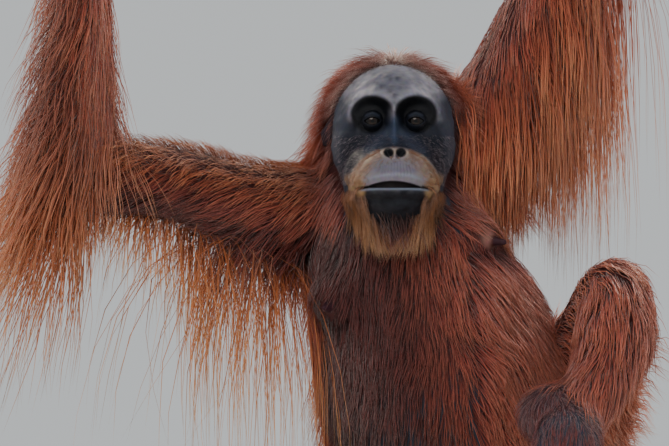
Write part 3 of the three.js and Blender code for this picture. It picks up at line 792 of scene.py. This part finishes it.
def hair_density(p, n, limb):
    """How thickly hair grows at a place, 0 where the skin is bare."""
    x, y, z = p.T
    density = np.ones(len(p))
    side = np.abs(x - FACE_MID)
    head = of_limb(limb, "head")
    oval = face_oval(p)
    bare_face = (head | ((y < -84) & (z > 800))) & (y < -52) & (n[:, 2] > -0.55)
    bare_face |= (side < 36) & (z > 806) & (z < 1000) & (y < -96)
    density[bare_face] = rounded((oval[bare_face] - 0.98) / 0.1)
    beard = head & (z < 842) & (side > 36) & (y > -172)
    density[beard] = 1.3
    under_chin = head & (z < 815) & (n[:, 2] < -0.35)
    density[under_chin] = np.where(side[under_chin] > 26, 1.2, 0.25)
    density[head & (side < 26) & (z > 975)] *= 1.8
    ear = head & (side > 75) & (np.abs(z - 912) < 22) & (np.abs(y + 38) < 20)
    density[ear] = 0.1
    density[of_limb(limb, "digit", "nipple")] = 0
    hand = of_limb(limb, "hand")
    density[hand] = np.where(n[hand, 1] > 0.1, 0.45, 0.03)
    foot = of_limb(limb, "foot")
    density[foot] = np.where(n[foot, 1] < 0.1, 0.4, 0.06)
    instep = foot & (z > 545) & (n[:, 1] < 0.5)
    density[instep] = 3.2
    for root, tip in NIPPLE_PLACES:
        density[np.minimum(np.linalg.norm(p - root, axis=1), np.linalg.norm(p - tip, axis=1)) < 16] = 0
    density[(oval < 0.93) & (y < -60) & (z > 845) & (z < 1000)] = 0
    density[of_limb(limb, "upper_arm_left") & (n[:, 0] < -0.3) & (z > 960)] = 0.35
    thin_strip = of_limb(limb, "trunk") & (np.abs(x - 106) < 15) & (z > 775) & (z < 865)
    density[thin_strip & (y < 0)] *= 0.4
    return density


# Colours of the hair at its root, middle and tip. A hair is red, with shares of the other four mixed in.
# The dark roots and bright tips are partly the hair's own colour, partly painted shade deep in the coat and
# painted back light through the tips.
RED_HAIR = ("#4f1713", "#ad4738", "#e59070")
OTHER_HUES = {
    # The dark hue is partly dark hair, as on the chin, and partly painted shade. The gold hue is partly
    # golden hair and partly painted highlight and back light.
    "dark": ("#10080a", "#3e161a", "#86383a"),
    "gold": ("#6e2f18", "#cc743e", "#f7c082"),
    "buff": ("#70402a", "#c08455", "#e8b98c"),
    "grey": ("#454a5c", "#85808f", "#bfb2ba"),
}
DOWN = np.array((0.0, 0.0, -1.0))
INSTEP_CROWN = (184, -214, 622)


def hair_habit(p, n, limb, along, luck):
    """For each hair its flow (direction), length, lift, weight, loft (height over the skin) and tints."""
    x, y, z = p.T
    count = len(p)
    habit = {"flow": np.tile(DOWN, (count, 1)), "length": np.full(count, 60.0), "lift": np.full(count, 0.3)}
    habit.update(weight=np.full(count, 0.15), loft=np.full(count, 5.0))
    habit.update({tint: np.zeros(count) for tint in OTHER_HUES})

    def comb(part, **changes):
        """Sets habits of the hair on one part, each to a single value or to one of a value for each hair."""
        for habit_name, value in changes.items():
            habit[habit_name][part] = np.broadcast_to(value, habit[habit_name].shape)[part]

    side = np.tanh((x - FACE_MID) / 14)
    from_mid = np.abs(x - FACE_MID)
    top = np.clip(n[:, 2], 0, 1)
    front = n[:, 1] < -0.15

    # Head: short at the rim of the face, parted on the crown, with a buff beard on both sides of a dark chin
    head = of_limb(limb, "head")
    oval = face_oval(p)
    comb(head, flow=directions(side * (0.3 + 0.9 * top), 0.2 + 0.3 * top, -1 + 0.75 * top),
         length=np.where(y > -20, 62, 54), loft=15, lift=0.8, weight=0.25, gold=0.12)
    rim = head & (y < -50) & (oval < 1.3)
    comb(rim, length=20 + 90 * np.clip(oval - 1, 0, 0.33), loft=4 + 30 * np.clip(oval - 1, 0, 0.3))
    comb(head & (from_mid < 24) & (z > 975), dark=0.45)
    comb(rim, dark=np.maximum(habit["dark"], 0.3 * np.clip(1.25 - oval, 0, 0.25) / 0.25))
    beard = head & (z < 850) & (y < -58)
    comb(beard, flow=directions(side * 0.22, -0.12, -1.0), length=16 + 42 * rounded((846 - z) / 36), lift=0.3,
         loft=4, buff=0.95 * (rounded((from_mid - 18) / 14) * rounded((66 - from_mid) / 10)),
         dark=0.9 * rounded((34 - from_mid) / 14), gold=0)

    # Short fine fuzz on the bare face, palest along the edge of the muzzle
    fuzz = head & (oval < 0.97) & (y < -60) & (z > 846)
    on_muzzle = muzzle_oval(x, z) < 1.06
    comb(fuzz, flow=directions((x - FACE_MID) / 50, 0, -0.9), length=6, loft=0.6, lift=0.5, weight=0.05,
         buff=np.where(on_muzzle, 0.9, 0.1), grey=np.where(on_muzzle, 0.0, 0.8), gold=0, dark=0)

    # Trunk: it falls from the shoulders, parts over the belly and is longest on the back
    comb(of_limb(limb, "neck"), flow=directions(side * 0.35, 0, -1), length=62)
    trunk = of_limb(limb, "trunk", "nipple")
    waist = trunk & (x > 75) & (z < 770) & (z > 560)
    comb(trunk, flow=directions(0.28 * (x - (20 + (750 - z) * 0.2)) / 130, 0, -1))
    comb(trunk & (z > 800), flow=directions(0.8 * side, 0, -0.8))
    comb(trunk & (x > 90) & (z < 640), flow=(0.45, -0.1, -1))
    comb(waist, flow=(0.5, -0.05, -1), loft=18)
    comb(trunk, length=np.where(front, np.where(waist, 85, 58), np.where(n[:, 1] > 0.4, 112, 84)))
    # The darker hair down the middle and lower front of the chest and belly is painted shade.
    comb(trunk & front & (z < 812), dark=0.9 * rounded((70 + (770 - z) * 0.25 - x) / 110))
    for root, tip in NIPPLE_PLACES:
        comb(trunk & (np.linalg.norm(p - root, axis=1) < 36) & (z > root[2] - 12), length=18, loft=1)

    # Arms: most hair lies along the arm, and some long loose strands hang from its underside
    loose = luck < 0.36
    arm = of_limb(limb, "upper_arm_right")
    under = np.clip(-n[:, 2] + 0.25, 0, 1)
    armpit = rounded((x + 250) / 110) * np.clip(under * 1.6, 0, 1)
    # The gold on the top of the arm is a painted highlight, and the dark on its underside and armpit is
    # painted shade.
    comb(arm, flow=along + DOWN * (0.3 + 0.8 * armpit[:, None]), length=50 - 12 * top + 60 * armpit,
         loft=5 + 7 * top, lift=0.3 + 0.5 * top, gold=top, dark=0.85 * np.clip(0.6 - n[:, 2], 0, 1))
    strand = arm & (luck < 0.42) & (under > 0.1) & (n[:, 1] > -0.35)
    comb(strand, flow=along * 0.3 + DOWN, length=95 + under * 300 * np.exp(-((x + 180) / 85) ** 2),
         weight=0.6, dark=0.1, gold=0.95 * rounded((-x - 95) / 70))

    arm = of_limb(limb, "upper_arm_left")
    outer = np.clip(n[:, 0] + 0.3, 0, 1)
    comb(arm, flow=np.array((0.4, 0.1, -0.85)) * outer[:, None] + DOWN * (1 - outer[:, None]),
         length=58 + 30 * outer, weight=0.3, gold=0.1)
    comb(arm & (luck < 0.5) & (outer > 0.15), flow=(0.18, 0.05, -1), weight=0.7, gold=0.35,
         length=90 + outer * np.clip((z - 890) * 1.35, 60, 300))

    # The right forearm's strands fan out sideways from the elbow
    arm = of_limb(limb, "forearm_right")
    elbow = rounded((985 - z) / 120)
    outward = np.clip(-n[:, 0], 0, 1)
    # The dark on the front of the forearm near the elbow is painted shade.
    comb(arm, flow=-along + directions(-0.3 * outward, 0, -0.3), length=78, weight=0.25, lift=0.35, gold=0.1,
         dark=0.8 * elbow * np.clip(0.4 - n[:, 1], 0, 1))
    fan = 0.2 + 0.65 * rounded((-x - 320) / 110)
    facing = np.clip(0.9 - 0.75 * np.abs(n[:, 0]), 0.15, 1)
    inner = np.clip(-n[:, 1], 0, 1) * (1 - 0.5 * elbow)
    # On the fanned strands the dark on the front is painted shade. The gold, strongest at the elbow and on
    # the sides, is partly the hair's own colour and partly painted back light.
    comb(arm & (luck < 0.5 + 0.15 * elbow), flow=directions(-fan, 0, -1), length=112 + elbow * 235 * facing,
         weight=0.16, lift=np.where(n[:, 0] > 0.25, 0.15, 0.55), dark=0.65 * inner,
         gold=(0.3 + 0.45 * elbow) * (1 - 0.6 * inner))
    comb(of_limb(limb, "forearm_left"), flow=-along + DOWN * 0.3, length=np.where(loose, 150, 90), gold=0.3)

    for name, lean in (("thigh_left", 0.35), ("thigh_right", -0.1)):
        comb(of_limb(limb, name), flow=along * 0.6 + DOWN * 0.7 + np.array((lean, 0, 0)),
             length=72 + 35 * np.clip(-n[:, 2], 0, 1), weight=0.4, lift=0.1, gold=0.1)
    comb(of_limb(limb, "shin_left", "shin_right"), flow=along + DOWN * 0.4, length=70)
    comb(of_limb(limb, "hand"), flow=along, length=20, lift=0.2, weight=0.05)
    foot = of_limb(limb, "foot")
    comb(foot, flow=along + DOWN * 0.2, length=15, lift=0.2, weight=0.05)
    comb(foot & (z > 545), flow=(p - INSTEP_CROWN) / 40, length=28, grey=np.where(luck < 0.4, 0.6, 0.1))
    return habit


coat_hair, hair_shader = new_material("orangutan hair", {
    "Roughness": 0.45, "Specular IOR Level": 0.35,
    "Sheen Weight": 0.25, "Sheen Roughness": 0.4,
})
STRAND_SIZE_M = 0.0015
strands = surface_texture(coat_hair, "ShaderNodeTexNoise", {"Scale": 1 / STRAND_SIZE_M})
tint_by(coat_hair, hair_shader, "hair_colour", strands, 0.3)
WIDEST_REACH = -512
DRAWN_BACK = 0.72
BAKE_PATCH = 0.003
ROOT_DEPTH = 1.2
SHORT_HAIR = 100
SEARCH_REACH = 20.0
TUFTS_PER_STRAND = 8
LIKE_LENGTH = 60
BATCH = 2000


def three_hues(hues, share):
    """Colours along a hair from root to tip."""
    root, mid, tip = (np.array(srgb(hue)[:3]) for hue in hues)
    low = np.clip(share * 2, 0, 1)[..., None]
    high = np.clip(share * 2 - 1, 0, 1)[..., None]
    return root + (mid - root) * low + (tip - mid) * high


def grow_coat(name, chosen, tufts, steps, half_width, limbs, seed):
    """One piece of coat: tufts on the chosen triangles of the skin, each with this many straight steps."""
    dice = np.random.default_rng(seed)
    chance = areas * chosen
    if name != "coat_face":
        chance = chance * hair_density(middles, normals[corner_ids].mean(axis=1), middle_limb)
    picked = dice.choice(len(areas), tufts, p=chance / chance.sum())
    a, b = dice.random(tufts), dice.random(tufts)
    fold = a + b > 1
    a[fold], b[fold] = 1 - a[fold], 1 - b[fold]
    mix = np.stack([1 - a - b, a, b], axis=1)[:, :, None]
    root = (corners[picked] * mix).sum(axis=1)
    normal = unit((normals[corner_ids[picked]] * mix).sum(axis=1))
    facts = ball_facts[middle_ball[picked]]
    limb, share, along = middle_limb[picked], facts[:, 1], facts[:, 2:5]
    luck = dice.random(tufts)
    habit = hair_habit(root, normal, limb, along, luck)
    flow, length = habit["flow"], habit["length"]
    swirl = value_noise(root, 38, seed + 1)[:, None] * np.cross(normal, flow) * 0.35
    flow = flow + swirl + dice.normal(0, 0.1, (tufts, 3))
    flow = unit(flow - normal * (flow * normal).sum(axis=1)[:, None])
    length = length * dice.uniform(0.55, 1.12, tufts)
    heading = unit(flow + normal * (habit["lift"] * dice.uniform(0.5, 1.5, tufts))[:, None])
    path = np.empty((tufts, steps + 1, 3))
    path[:, 0] = root - normal * np.minimum(ROOT_DEPTH, length * 0.1)[:, None]
    wave = value_noise(root, 24, seed + 2) * 3.1 + dice.uniform(-1.2, 1.2, tufts)
    sideways = np.cross(normal, flow)
    cling = (length < SHORT_HAIR) & ~of_limb(limb, "head")
    cling &= ~(of_limb(limb, "upper_arm_right") & (normal[:, 2] > 0.4))
    for step in range(1, steps + 1):
        place = path[:, step - 1] + heading * (length / steps)[:, None]
        clear = 1.0 + habit["loft"] * (step / steps) ** 0.6 * dice.uniform(0.2, 1, tufts)
        for i, spot in enumerate(place.tolist()):
            hit, face_normal, face, gap = skin_tree.find_nearest(spot, SEARCH_REACH)
            if hit is None:
                continue
            if (Vector(spot) - hit).dot(face_normal) < 0:
                gap = -gap
            if gap < clear[i]:
                place[i] += np.array(face_normal) * (clear[i] - gap)
            elif cling[i]:
                place[i] += np.array(face_normal) * (clear[i] - gap) * 0.4
        path[:, step] = place
        heading = unit(place - path[:, step - 1])
        bend = (np.sin(wave + step * 1.7) * np.clip(length / 420, 0.13, 0.24))[:, None] * sideways
        heading = unit(heading + DOWN * (habit["weight"] * step ** 0.5)[:, None] + bend)
    leaders = dice.choice(tufts, max(2, tufts // TUFTS_PER_STRAND), replace=False)
    leader_of = np.empty(tufts, int)
    for start in range(0, tufts, BATCH):
        gaps = root[start:start + BATCH, None] - root[leaders][None]
        leader_of[start:start + BATCH] = leaders[np.argmin((gaps ** 2).sum(axis=2), axis=1)]
    reach = np.linspace(0, 1, steps + 1)[None, :, None]
    offset = (path[:, :1] - path[leader_of, :1]) * (1 - 0.7 * reach)
    strength = 0.5 + 0.3 * np.clip((length - 90) / 60, 0, 1)
    gather = strength[:, None, None] * reach ** 1.3 * dice.uniform(0.4, 1, tufts)[:, None, None]
    gather = gather * (np.abs(length - length[leader_of]) < LIKE_LENGTH)[:, None, None]
    path = path * (1 - gather) + (path[leader_of] + offset) * gather
    path[:, :, 0] -= np.minimum(path[:, :, 0] - WIDEST_REACH, 0) * DRAWN_BACK

    direction = np.empty_like(path)
    direction[:, 1:-1] = path[:, 2:] - path[:, :-2]
    direction[:, 0] = path[:, 1] - path[:, 0]
    direction[:, -1] = path[:, -1] - path[:, -2]
    direction = unit(direction)
    wide = unit(np.cross(direction, normal[:, None]))
    thick = np.cross(direction, wide)
    along_share = np.linspace(0, 1, steps + 1)
    half = half_width * (0.7 + 0.6 * along_share) * (1 - along_share ** 1.8)
    half = half[None, :] * (dice.uniform(0.6, 1.25, tufts) * np.clip(length / 60, 0.6, 1.2))[:, None]
    angles = np.radians([90, 210, 330])
    ring = (path[:, :-1, None] + half[:, :-1, None, None] * (
        wide[:, :-1, None] * np.cos(angles)[None, None, :, None]
        + thick[:, :-1, None] * 0.5 * np.sin(angles)[None, None, :, None]))
    verts = np.concatenate([ring.reshape(tufts, steps * 3, 3), path[:, -1:]], axis=1)
    per_tuft = steps * 3 + 1
    loops = [2, 1, 0]
    sizes = [3]
    for k in range(steps - 1):
        for j in range(3):
            following = (j + 1) % 3
            loops += [3 * k + j, 3 * k + following, 3 * k + 3 + following, 3 * k + 3 + j]
            sizes.append(4)
    for j in range(3):
        loops += [3 * (steps - 1) + j, 3 * (steps - 1) + (j + 1) % 3, 3 * steps]
        sizes.append(3)
    loop_ids = (np.arange(tufts)[:, None] * per_tuft + np.array(loops)[None]).ravel()
    totals = np.tile(sizes, tufts)

    piece_mesh = bpy.data.meshes.new(name)
    piece_mesh.vertices.add(tufts * per_tuft)
    piece_mesh.vertices.foreach_set("co", (verts.reshape(-1, 3) * MM).astype(np.float32).ravel())
    piece_mesh.loops.add(len(loop_ids))
    piece_mesh.loops.foreach_set("vertex_index", loop_ids.astype(np.int32))
    piece_mesh.polygons.add(len(totals))
    loop_starts = np.concatenate([[0], np.cumsum(totals)[:-1]])
    piece_mesh.polygons.foreach_set("loop_start", loop_starts.astype(np.int32))
    piece_mesh.polygons.foreach_set("loop_total", totals.astype(np.int32))
    piece_mesh.polygons.foreach_set("use_smooth", np.ones(len(totals), bool))
    piece_mesh.update(calc_edges=True)

    clump = value_noise(root[leader_of], 6, seed + 3)
    tone = 1 + 0.22 * clump + dice.uniform(-0.16, 0.16, tufts) + 0.14 * value_noise(root, 55, 77)
    vertex_share = np.concatenate([np.repeat(along_share[:-1], 3), [1.0]])
    shares = np.tile(vertex_share, (tufts, 1)) * np.clip(length / 50, 0.5, 1)[:, None]
    shade_of_hair = three_hues(RED_HAIR, shares)
    for tint, hues in OTHER_HUES.items():
        amount = np.clip(habit[tint], 0, 1)[:, None, None]
        shade_of_hair = shade_of_hair * (1 - amount) + three_hues(hues, shares) * amount
    shade_of_hair *= np.clip(tone, 0.3, 2)[:, None, None]
    rgba = np.concatenate([np.clip(shade_of_hair, 0, 1), np.ones((tufts, per_tuft, 1))], axis=2)
    set_tints(piece_mesh, "hair_colour", rgba)

    # Each lock takes a small patch of the map, at its root's place on the limb unrolled about its axis
    spoke = root - ball_centres[middle_ball[picked]]
    across = unit(np.cross(along, np.array((0.0, 1.0, 0.01))))
    deep_axis = np.cross(along, across)
    turn = np.arctan2((spoke * deep_axis).sum(axis=1), (spoke * across).sum(axis=1)) / (2 * math.pi) + 0.5
    climb = share.copy()
    head = of_limb(limb, "head")
    turn[head] = np.arctan2(root[head, 0] - FACE_MID, root[head, 1] + 50) / (2 * math.pi) + 0.5
    climb[head] = (root[head, 2] - 780) / 235
    tile = np.zeros(tufts)
    for order, limb_name in enumerate(limbs):
        tile[of_limb(limb, limb_name)] = order
    u = 0.01 + 0.98 * np.clip(turn, 0, 1)
    v = (tile + 0.03 + 0.94 * np.clip(climb, 0, 1)) / len(limbs)
    patch_u = BAKE_PATCH * (vertex_share - 0.5)
    patch_v = BAKE_PATCH * np.concatenate([np.tile([-0.5, 0, 0.5], steps), [0.0]])
    uv = np.stack([u[:, None] + patch_u[None], v[:, None] + patch_v[None]], axis=2).reshape(-1, 2)
    bake = piece_mesh.uv_layers.new(name="OFBake")
    bake.data.foreach_set("uv", uv[loop_ids].astype(np.float32).ravel())

    piece = bpy.data.objects.new(name, piece_mesh)
    bpy.context.scene.collection.objects.link(piece)
    piece.data.materials.append(coat_hair)
    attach(piece, "root")


# The pieces of the coat: name, limbs, the part of them, tufts, steps of a tuft, half width (mm) and seed
height = middles[:, 2]
everywhere = np.ones(len(height), bool)
lip_edge = muzzle_oval(middles[:, 0], height)
face_fuzz = (face_oval(middles) < 0.95) & (middles[:, 1] < -62) & (height > 847)
face_fuzz = face_fuzz * np.where(lip_edge < 1.06, rounded((lip_edge - 0.55) / 0.35), 0.25 * (height < 908))
nostril = np.hypot(np.abs(middles[:, 0] - FACE_MID) - 7.5, height - 886) < 8.5
for name, limbs, chosen, tufts, steps, half_width, seed in (
    ("face", ["head"], face_fuzz * ~nostril, 4200, 2, 0.3, 1212),
    ("head", ["head"], everywhere, 11500, 3, 0.65, 101),
    ("shoulders", ["neck", "trunk"], (height > 770) | of_limb(middle_limb, "neck"), 8000, 3, 0.85, 202),
    ("chest", ["trunk"], (height <= 770) & (height > 590), 11500, 3, 0.75, 303),
    ("belly", ["trunk"], height <= 590, 8000, 3, 0.95, 404),
    ("upper_arm_right", ["upper_arm_right"], everywhere, 7000, 5, 0.75, 505),
    ("upper_arm_left", ["upper_arm_left"], everywhere, 6500, 5, 0.85, 606),
    ("forearm_right", ["forearm_right"], everywhere, 5500, 5, 0.8, 707),
    ("forearm_left", ["forearm_left"], everywhere, 4000, 3, 1.2, 808),
    ("leg_left", ["thigh_left", "shin_left"], everywhere, 7000, 3, 0.9, 909),
    ("leg_right", ["thigh_right", "shin_right"], everywhere, 5000, 3, 1.25, 1010),
    ("hands_feet", ["hand", "foot"], everywhere, 3500, 3, 0.6, 1111),
):
    grow_coat("coat_" + name, chosen * of_limb(middle_limb, *limbs), tufts, steps, half_width, limbs, seed)


# Branches: three cut lengths of forest branch, grey-green rough bark with lichen, sawn across at the ends,
# where the paler wood shows its rings. Each is one closed tube with ridged bark, made from named sizes.
bark_wood, bark_shader = new_material("bark", {"Roughness": 0.85})


def two_tones(material, shader, source, low, dark, high, light):
    """A base colour that goes from dark to light as a texture's value goes from low to high."""
    ramp = add_node(material, "ShaderNodeValToRGB", {}, {0: (source, 0)})
    for index, (place, colour) in enumerate(((low, dark), (high, light))):
        ramp.color_ramp.elements[index].position = place
        ramp.color_ramp.elements[index].color = srgb(colour)
    link(material, ramp, 0, shader, "Base Color")


PATCH_SIZE_M = 0.035
CRACK_SIZE_M = 0.006
patches = surface_texture(bark_wood, "ShaderNodeTexNoise", {"Scale": 1 / PATCH_SIZE_M, "Detail": 5.0})
two_tones(bark_wood, bark_shader, patches, 0.35, "#2b2a21", 0.68, "#7e8672")
cracks = surface_texture(bark_wood, "ShaderNodeTexVoronoi",
                         {"Scale": 1 / CRACK_SIZE_M, "feature": "DISTANCE_TO_EDGE"})
bark_bump = add_node(bark_wood, "ShaderNodeBump", {"Strength": 0.6, "Distance": 0.002},
                     {"Height": (cracks, 0)})
link(bark_wood, bark_bump, "Normal", bark_shader, "Normal")

sawn_wood, sawn_shader = new_material("sawn wood", {"Roughness": 0.7})
sawn_where = add_node(sawn_wood, "ShaderNodeUVMap", {"uv_map": "rings"})
rings = add_node(sawn_wood, "ShaderNodeTexWave", {"wave_type": "RINGS", "rings_direction": "Z", "Scale": 3.0,
                                                  "Distortion": 2.0}, {"Vector": (sawn_where, "UV")})
sawn_tone = add_node(sawn_wood, "ShaderNodeMix",
                     {"data_type": "RGBA", 6: srgb("#b08d5e"), 7: srgb("#d8bd8c")}, {0: (rings, 1)})
link(sawn_wood, sawn_tone, 2, sawn_shader, "Base Color")
RING_SPAN = 20


def cut_branch(name, node, start, end, radius, seed):
    """A branch between two points (mm) with ridged bark and flat sawn ends."""
    sides, steps = 40, max(24, round(np.linalg.norm(np.subtract(end, start)) / 6))
    start, end = np.array(start, float), np.array(end, float)
    along = unit(end - start)
    across = unit(np.cross(along, (0, 1, 0)))
    other = np.cross(along, across)
    angle = np.linspace(0, 2 * math.pi, sides, endpoint=False)
    spoke = np.cos(angle)[:, None] * across + np.sin(angle)[:, None] * other
    rows = []
    for step in range(steps + 1):
        centre = start + (end - start) * step / steps
        place = centre + spoke * radius
        stretched = place - along * ((place - start) @ along)[:, None] * 0.75
        ridge = value_noise(stretched, 7, seed) * 1.1 + value_noise(place, 26, seed + 1) * 1.3
        rows.append(centre + spoke * (radius - 0.6 + ridge)[:, None])
    verts = np.vstack(rows + [start[None], end[None]]) * MM
    faces = []
    for step in range(steps):
        for side in range(sides):
            following = (side + 1) % sides
            a, b = step * sides, (step + 1) * sides
            faces.append([a + side, a + following, b + following, b + side])
    first_cap = len(faces)
    last = steps * sides
    for side in range(sides):
        following = (side + 1) % sides
        faces.append([following, side, len(verts) - 2])
        faces.append([last + side, last + following, len(verts) - 1])
    branch_mesh = bpy.data.meshes.new(name)
    branch_mesh.from_pydata(verts.tolist(), [], faces)
    branch = bpy.data.objects.new(name, branch_mesh)
    bpy.context.scene.collection.objects.link(branch)
    branch_mesh.materials.append(bark_wood)
    branch_mesh.materials.append(sawn_wood)
    flat_map = branch_mesh.uv_layers.new(name="rings")
    for face in branch_mesh.polygons:
        face.use_smooth = face.index < first_cap
        face.material_index = 0 if face.index < first_cap else 1
        for corner in face.loop_indices:
            spot = verts[branch_mesh.loops[corner].vertex_index] / MM - start
            flat_map.data[corner].uv = (float(spot @ across) / RING_SPAN, float(spot @ other) / RING_SPAN)
    turn_outwards(branch)
    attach(branch, "root")
    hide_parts(node)


HAND_BRANCH_HALF = 130
for side_name, wrist, seed in (("left", LEFT_WRIST, 31), ("right", RIGHT_WRIST, 37)):
    hub = np.add(wrist, (0, -HUB_DROP, HUB_RISE))
    cut_branch("branch_hand_" + side_name, "perch_" + side_name + "_hand", hub + (-HAND_BRANCH_HALF, 6, -8),
               hub + (HAND_BRANCH_HALF, -4, 8), HAND_BRANCH_RADIUS, seed)


def foot_branch_at(x):
    share = (x - RIGHT_HOLD[0]) / (LEFT_HOLD[0] - RIGHT_HOLD[0])
    return np.array([a + (b - a) * share for a, b in zip(RIGHT_HOLD, LEFT_HOLD)], float)


cut_branch("branch_feet", "perch_feet", foot_branch_at(-205), foot_branch_at(228), FOOT_BRANCH_RADIUS, 43)


# Display stand: a rounded board of pale hardwood under clear satin lacquer, and two brushed steel rods with
# screwed collars, one up into the rump and one up into the foot branch.
board_wood, board_shader = new_material("lacquered hardwood", {
    "Roughness": 0.38, "Coat Weight": 0.3,
    "Coat Roughness": 0.2,
})
board_grain = surface_texture(board_wood, "ShaderNodeTexNoise",
                              {"Scale": 4.0, "Detail": 8.0, "Distortion": 0.6}, stretch=(1.2, 22.0, 22.0))
two_tones(board_wood, board_shader, board_grain, 0.32, "#8a5f38", 0.66, "#c39a68")
board_bump = add_node(board_wood, "ShaderNodeBump", {"Strength": 0.15, "Distance": 0.0004},
                      {"Height": (board_grain, 0)})
link(board_wood, board_bump, "Normal", board_shader, "Normal")

BOARD_SIZE = (0.660, 0.560, 0.028)
BOARD_CORNER_M = 0.050
BOARD_EDGE_M = 0.003
bpy.ops.object.select_all(action="DESELECT")
bpy.ops.mesh.primitive_cube_add(size=1, location=(0, 0, BOARD_SIZE[2] / 2), scale=BOARD_SIZE)
board = bpy.context.active_object
board.name = "stand_board"
bpy.ops.object.transform_apply(location=True, rotation=True, scale=True)
bpy.ops.object.mode_set(mode="EDIT")
bpy.ops.mesh.select_mode(type="EDGE")
bpy.ops.mesh.select_all(action="DESELECT")
bpy.ops.object.mode_set(mode="OBJECT")
for edge in board.data.edges:
    a, b = (board.data.vertices[i].co for i in edge.vertices)
    edge.select = abs(a.z - b.z) > 0.01
bpy.ops.object.mode_set(mode="EDIT")
bpy.ops.mesh.bevel(offset=BOARD_CORNER_M, segments=12, affect="EDGES")
bpy.ops.mesh.select_all(action="SELECT")
bpy.ops.object.mode_set(mode="OBJECT")
soften = board.modifiers.new("soften", "BEVEL")
soften.width = BOARD_EDGE_M
soften.segments = 4
soften.limit_method = "ANGLE"
soften.angle_limit = math.radians(50)
bpy.ops.object.modifier_apply(modifier=soften.name)
bpy.ops.object.shade_smooth_by_angle(angle=math.radians(35))
board.data.materials.append(board_wood)
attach(board, "root")
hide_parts("stand_base")

brushed_steel, steel_shader = new_material("brushed steel", {
    "Base Color": srgb("#b9babb"),
    "Metallic": 1.0,
})
steel_lines = surface_texture(brushed_steel, "ShaderNodeTexNoise", {"Scale": 1.0, "Detail": 2.0},
                              stretch=(1500.0, 1500.0, 20.0))
steel_rough = add_node(brushed_steel, "ShaderNodeMapRange", {"To Min": 0.22, "To Max": 0.42},
                       {"Value": (steel_lines, 0)})
link(brushed_steel, steel_rough, 0, steel_shader, "Roughness")

ROD_RADIUS_M = 0.012
ROD_FOOT_M = 0.0275
COLLAR_RADIUS_M = 0.024
COLLAR_HEIGHT_M = 0.010
COLLAR_MIDDLE_M = 0.0331
branch_rod = foot_branch_at(-30) * MM
for name, node, x, y, top_z in (
    ("stand_rump_post", "stand_rod_rump", 0.090, 0.045, 0.400),
    ("stand_branch_post", "stand_rod_branch", branch_rod[0], branch_rod[1], branch_rod[2] - 0.004),
):
    bpy.ops.object.select_all(action="DESELECT")
    bpy.ops.mesh.primitive_cylinder_add(vertices=48, radius=ROD_RADIUS_M, depth=top_z - ROD_FOOT_M,
                                        location=(x, y, (top_z + ROD_FOOT_M) / 2))
    post = bpy.context.active_object
    bpy.ops.mesh.primitive_cylinder_add(vertices=48, radius=COLLAR_RADIUS_M, depth=COLLAR_HEIGHT_M,
                                        location=(x, y, COLLAR_MIDDLE_M))
    post.select_set(True)
    bpy.context.view_layer.objects.active = post
    bpy.ops.object.join()
    post.name = name
    bpy.ops.object.transform_apply(location=True, rotation=True, scale=True)
    ease = post.modifiers.new("ease", "BEVEL")
    ease.width = 0.001
    ease.segments = 3
    ease.limit_method = "ANGLE"
    bpy.ops.object.modifier_apply(modifier=ease.name)
    bpy.ops.object.shade_smooth_by_angle(angle=math.radians(35))
    post.data.materials.append(brushed_steel)
    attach(post, "root")
    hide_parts(node)
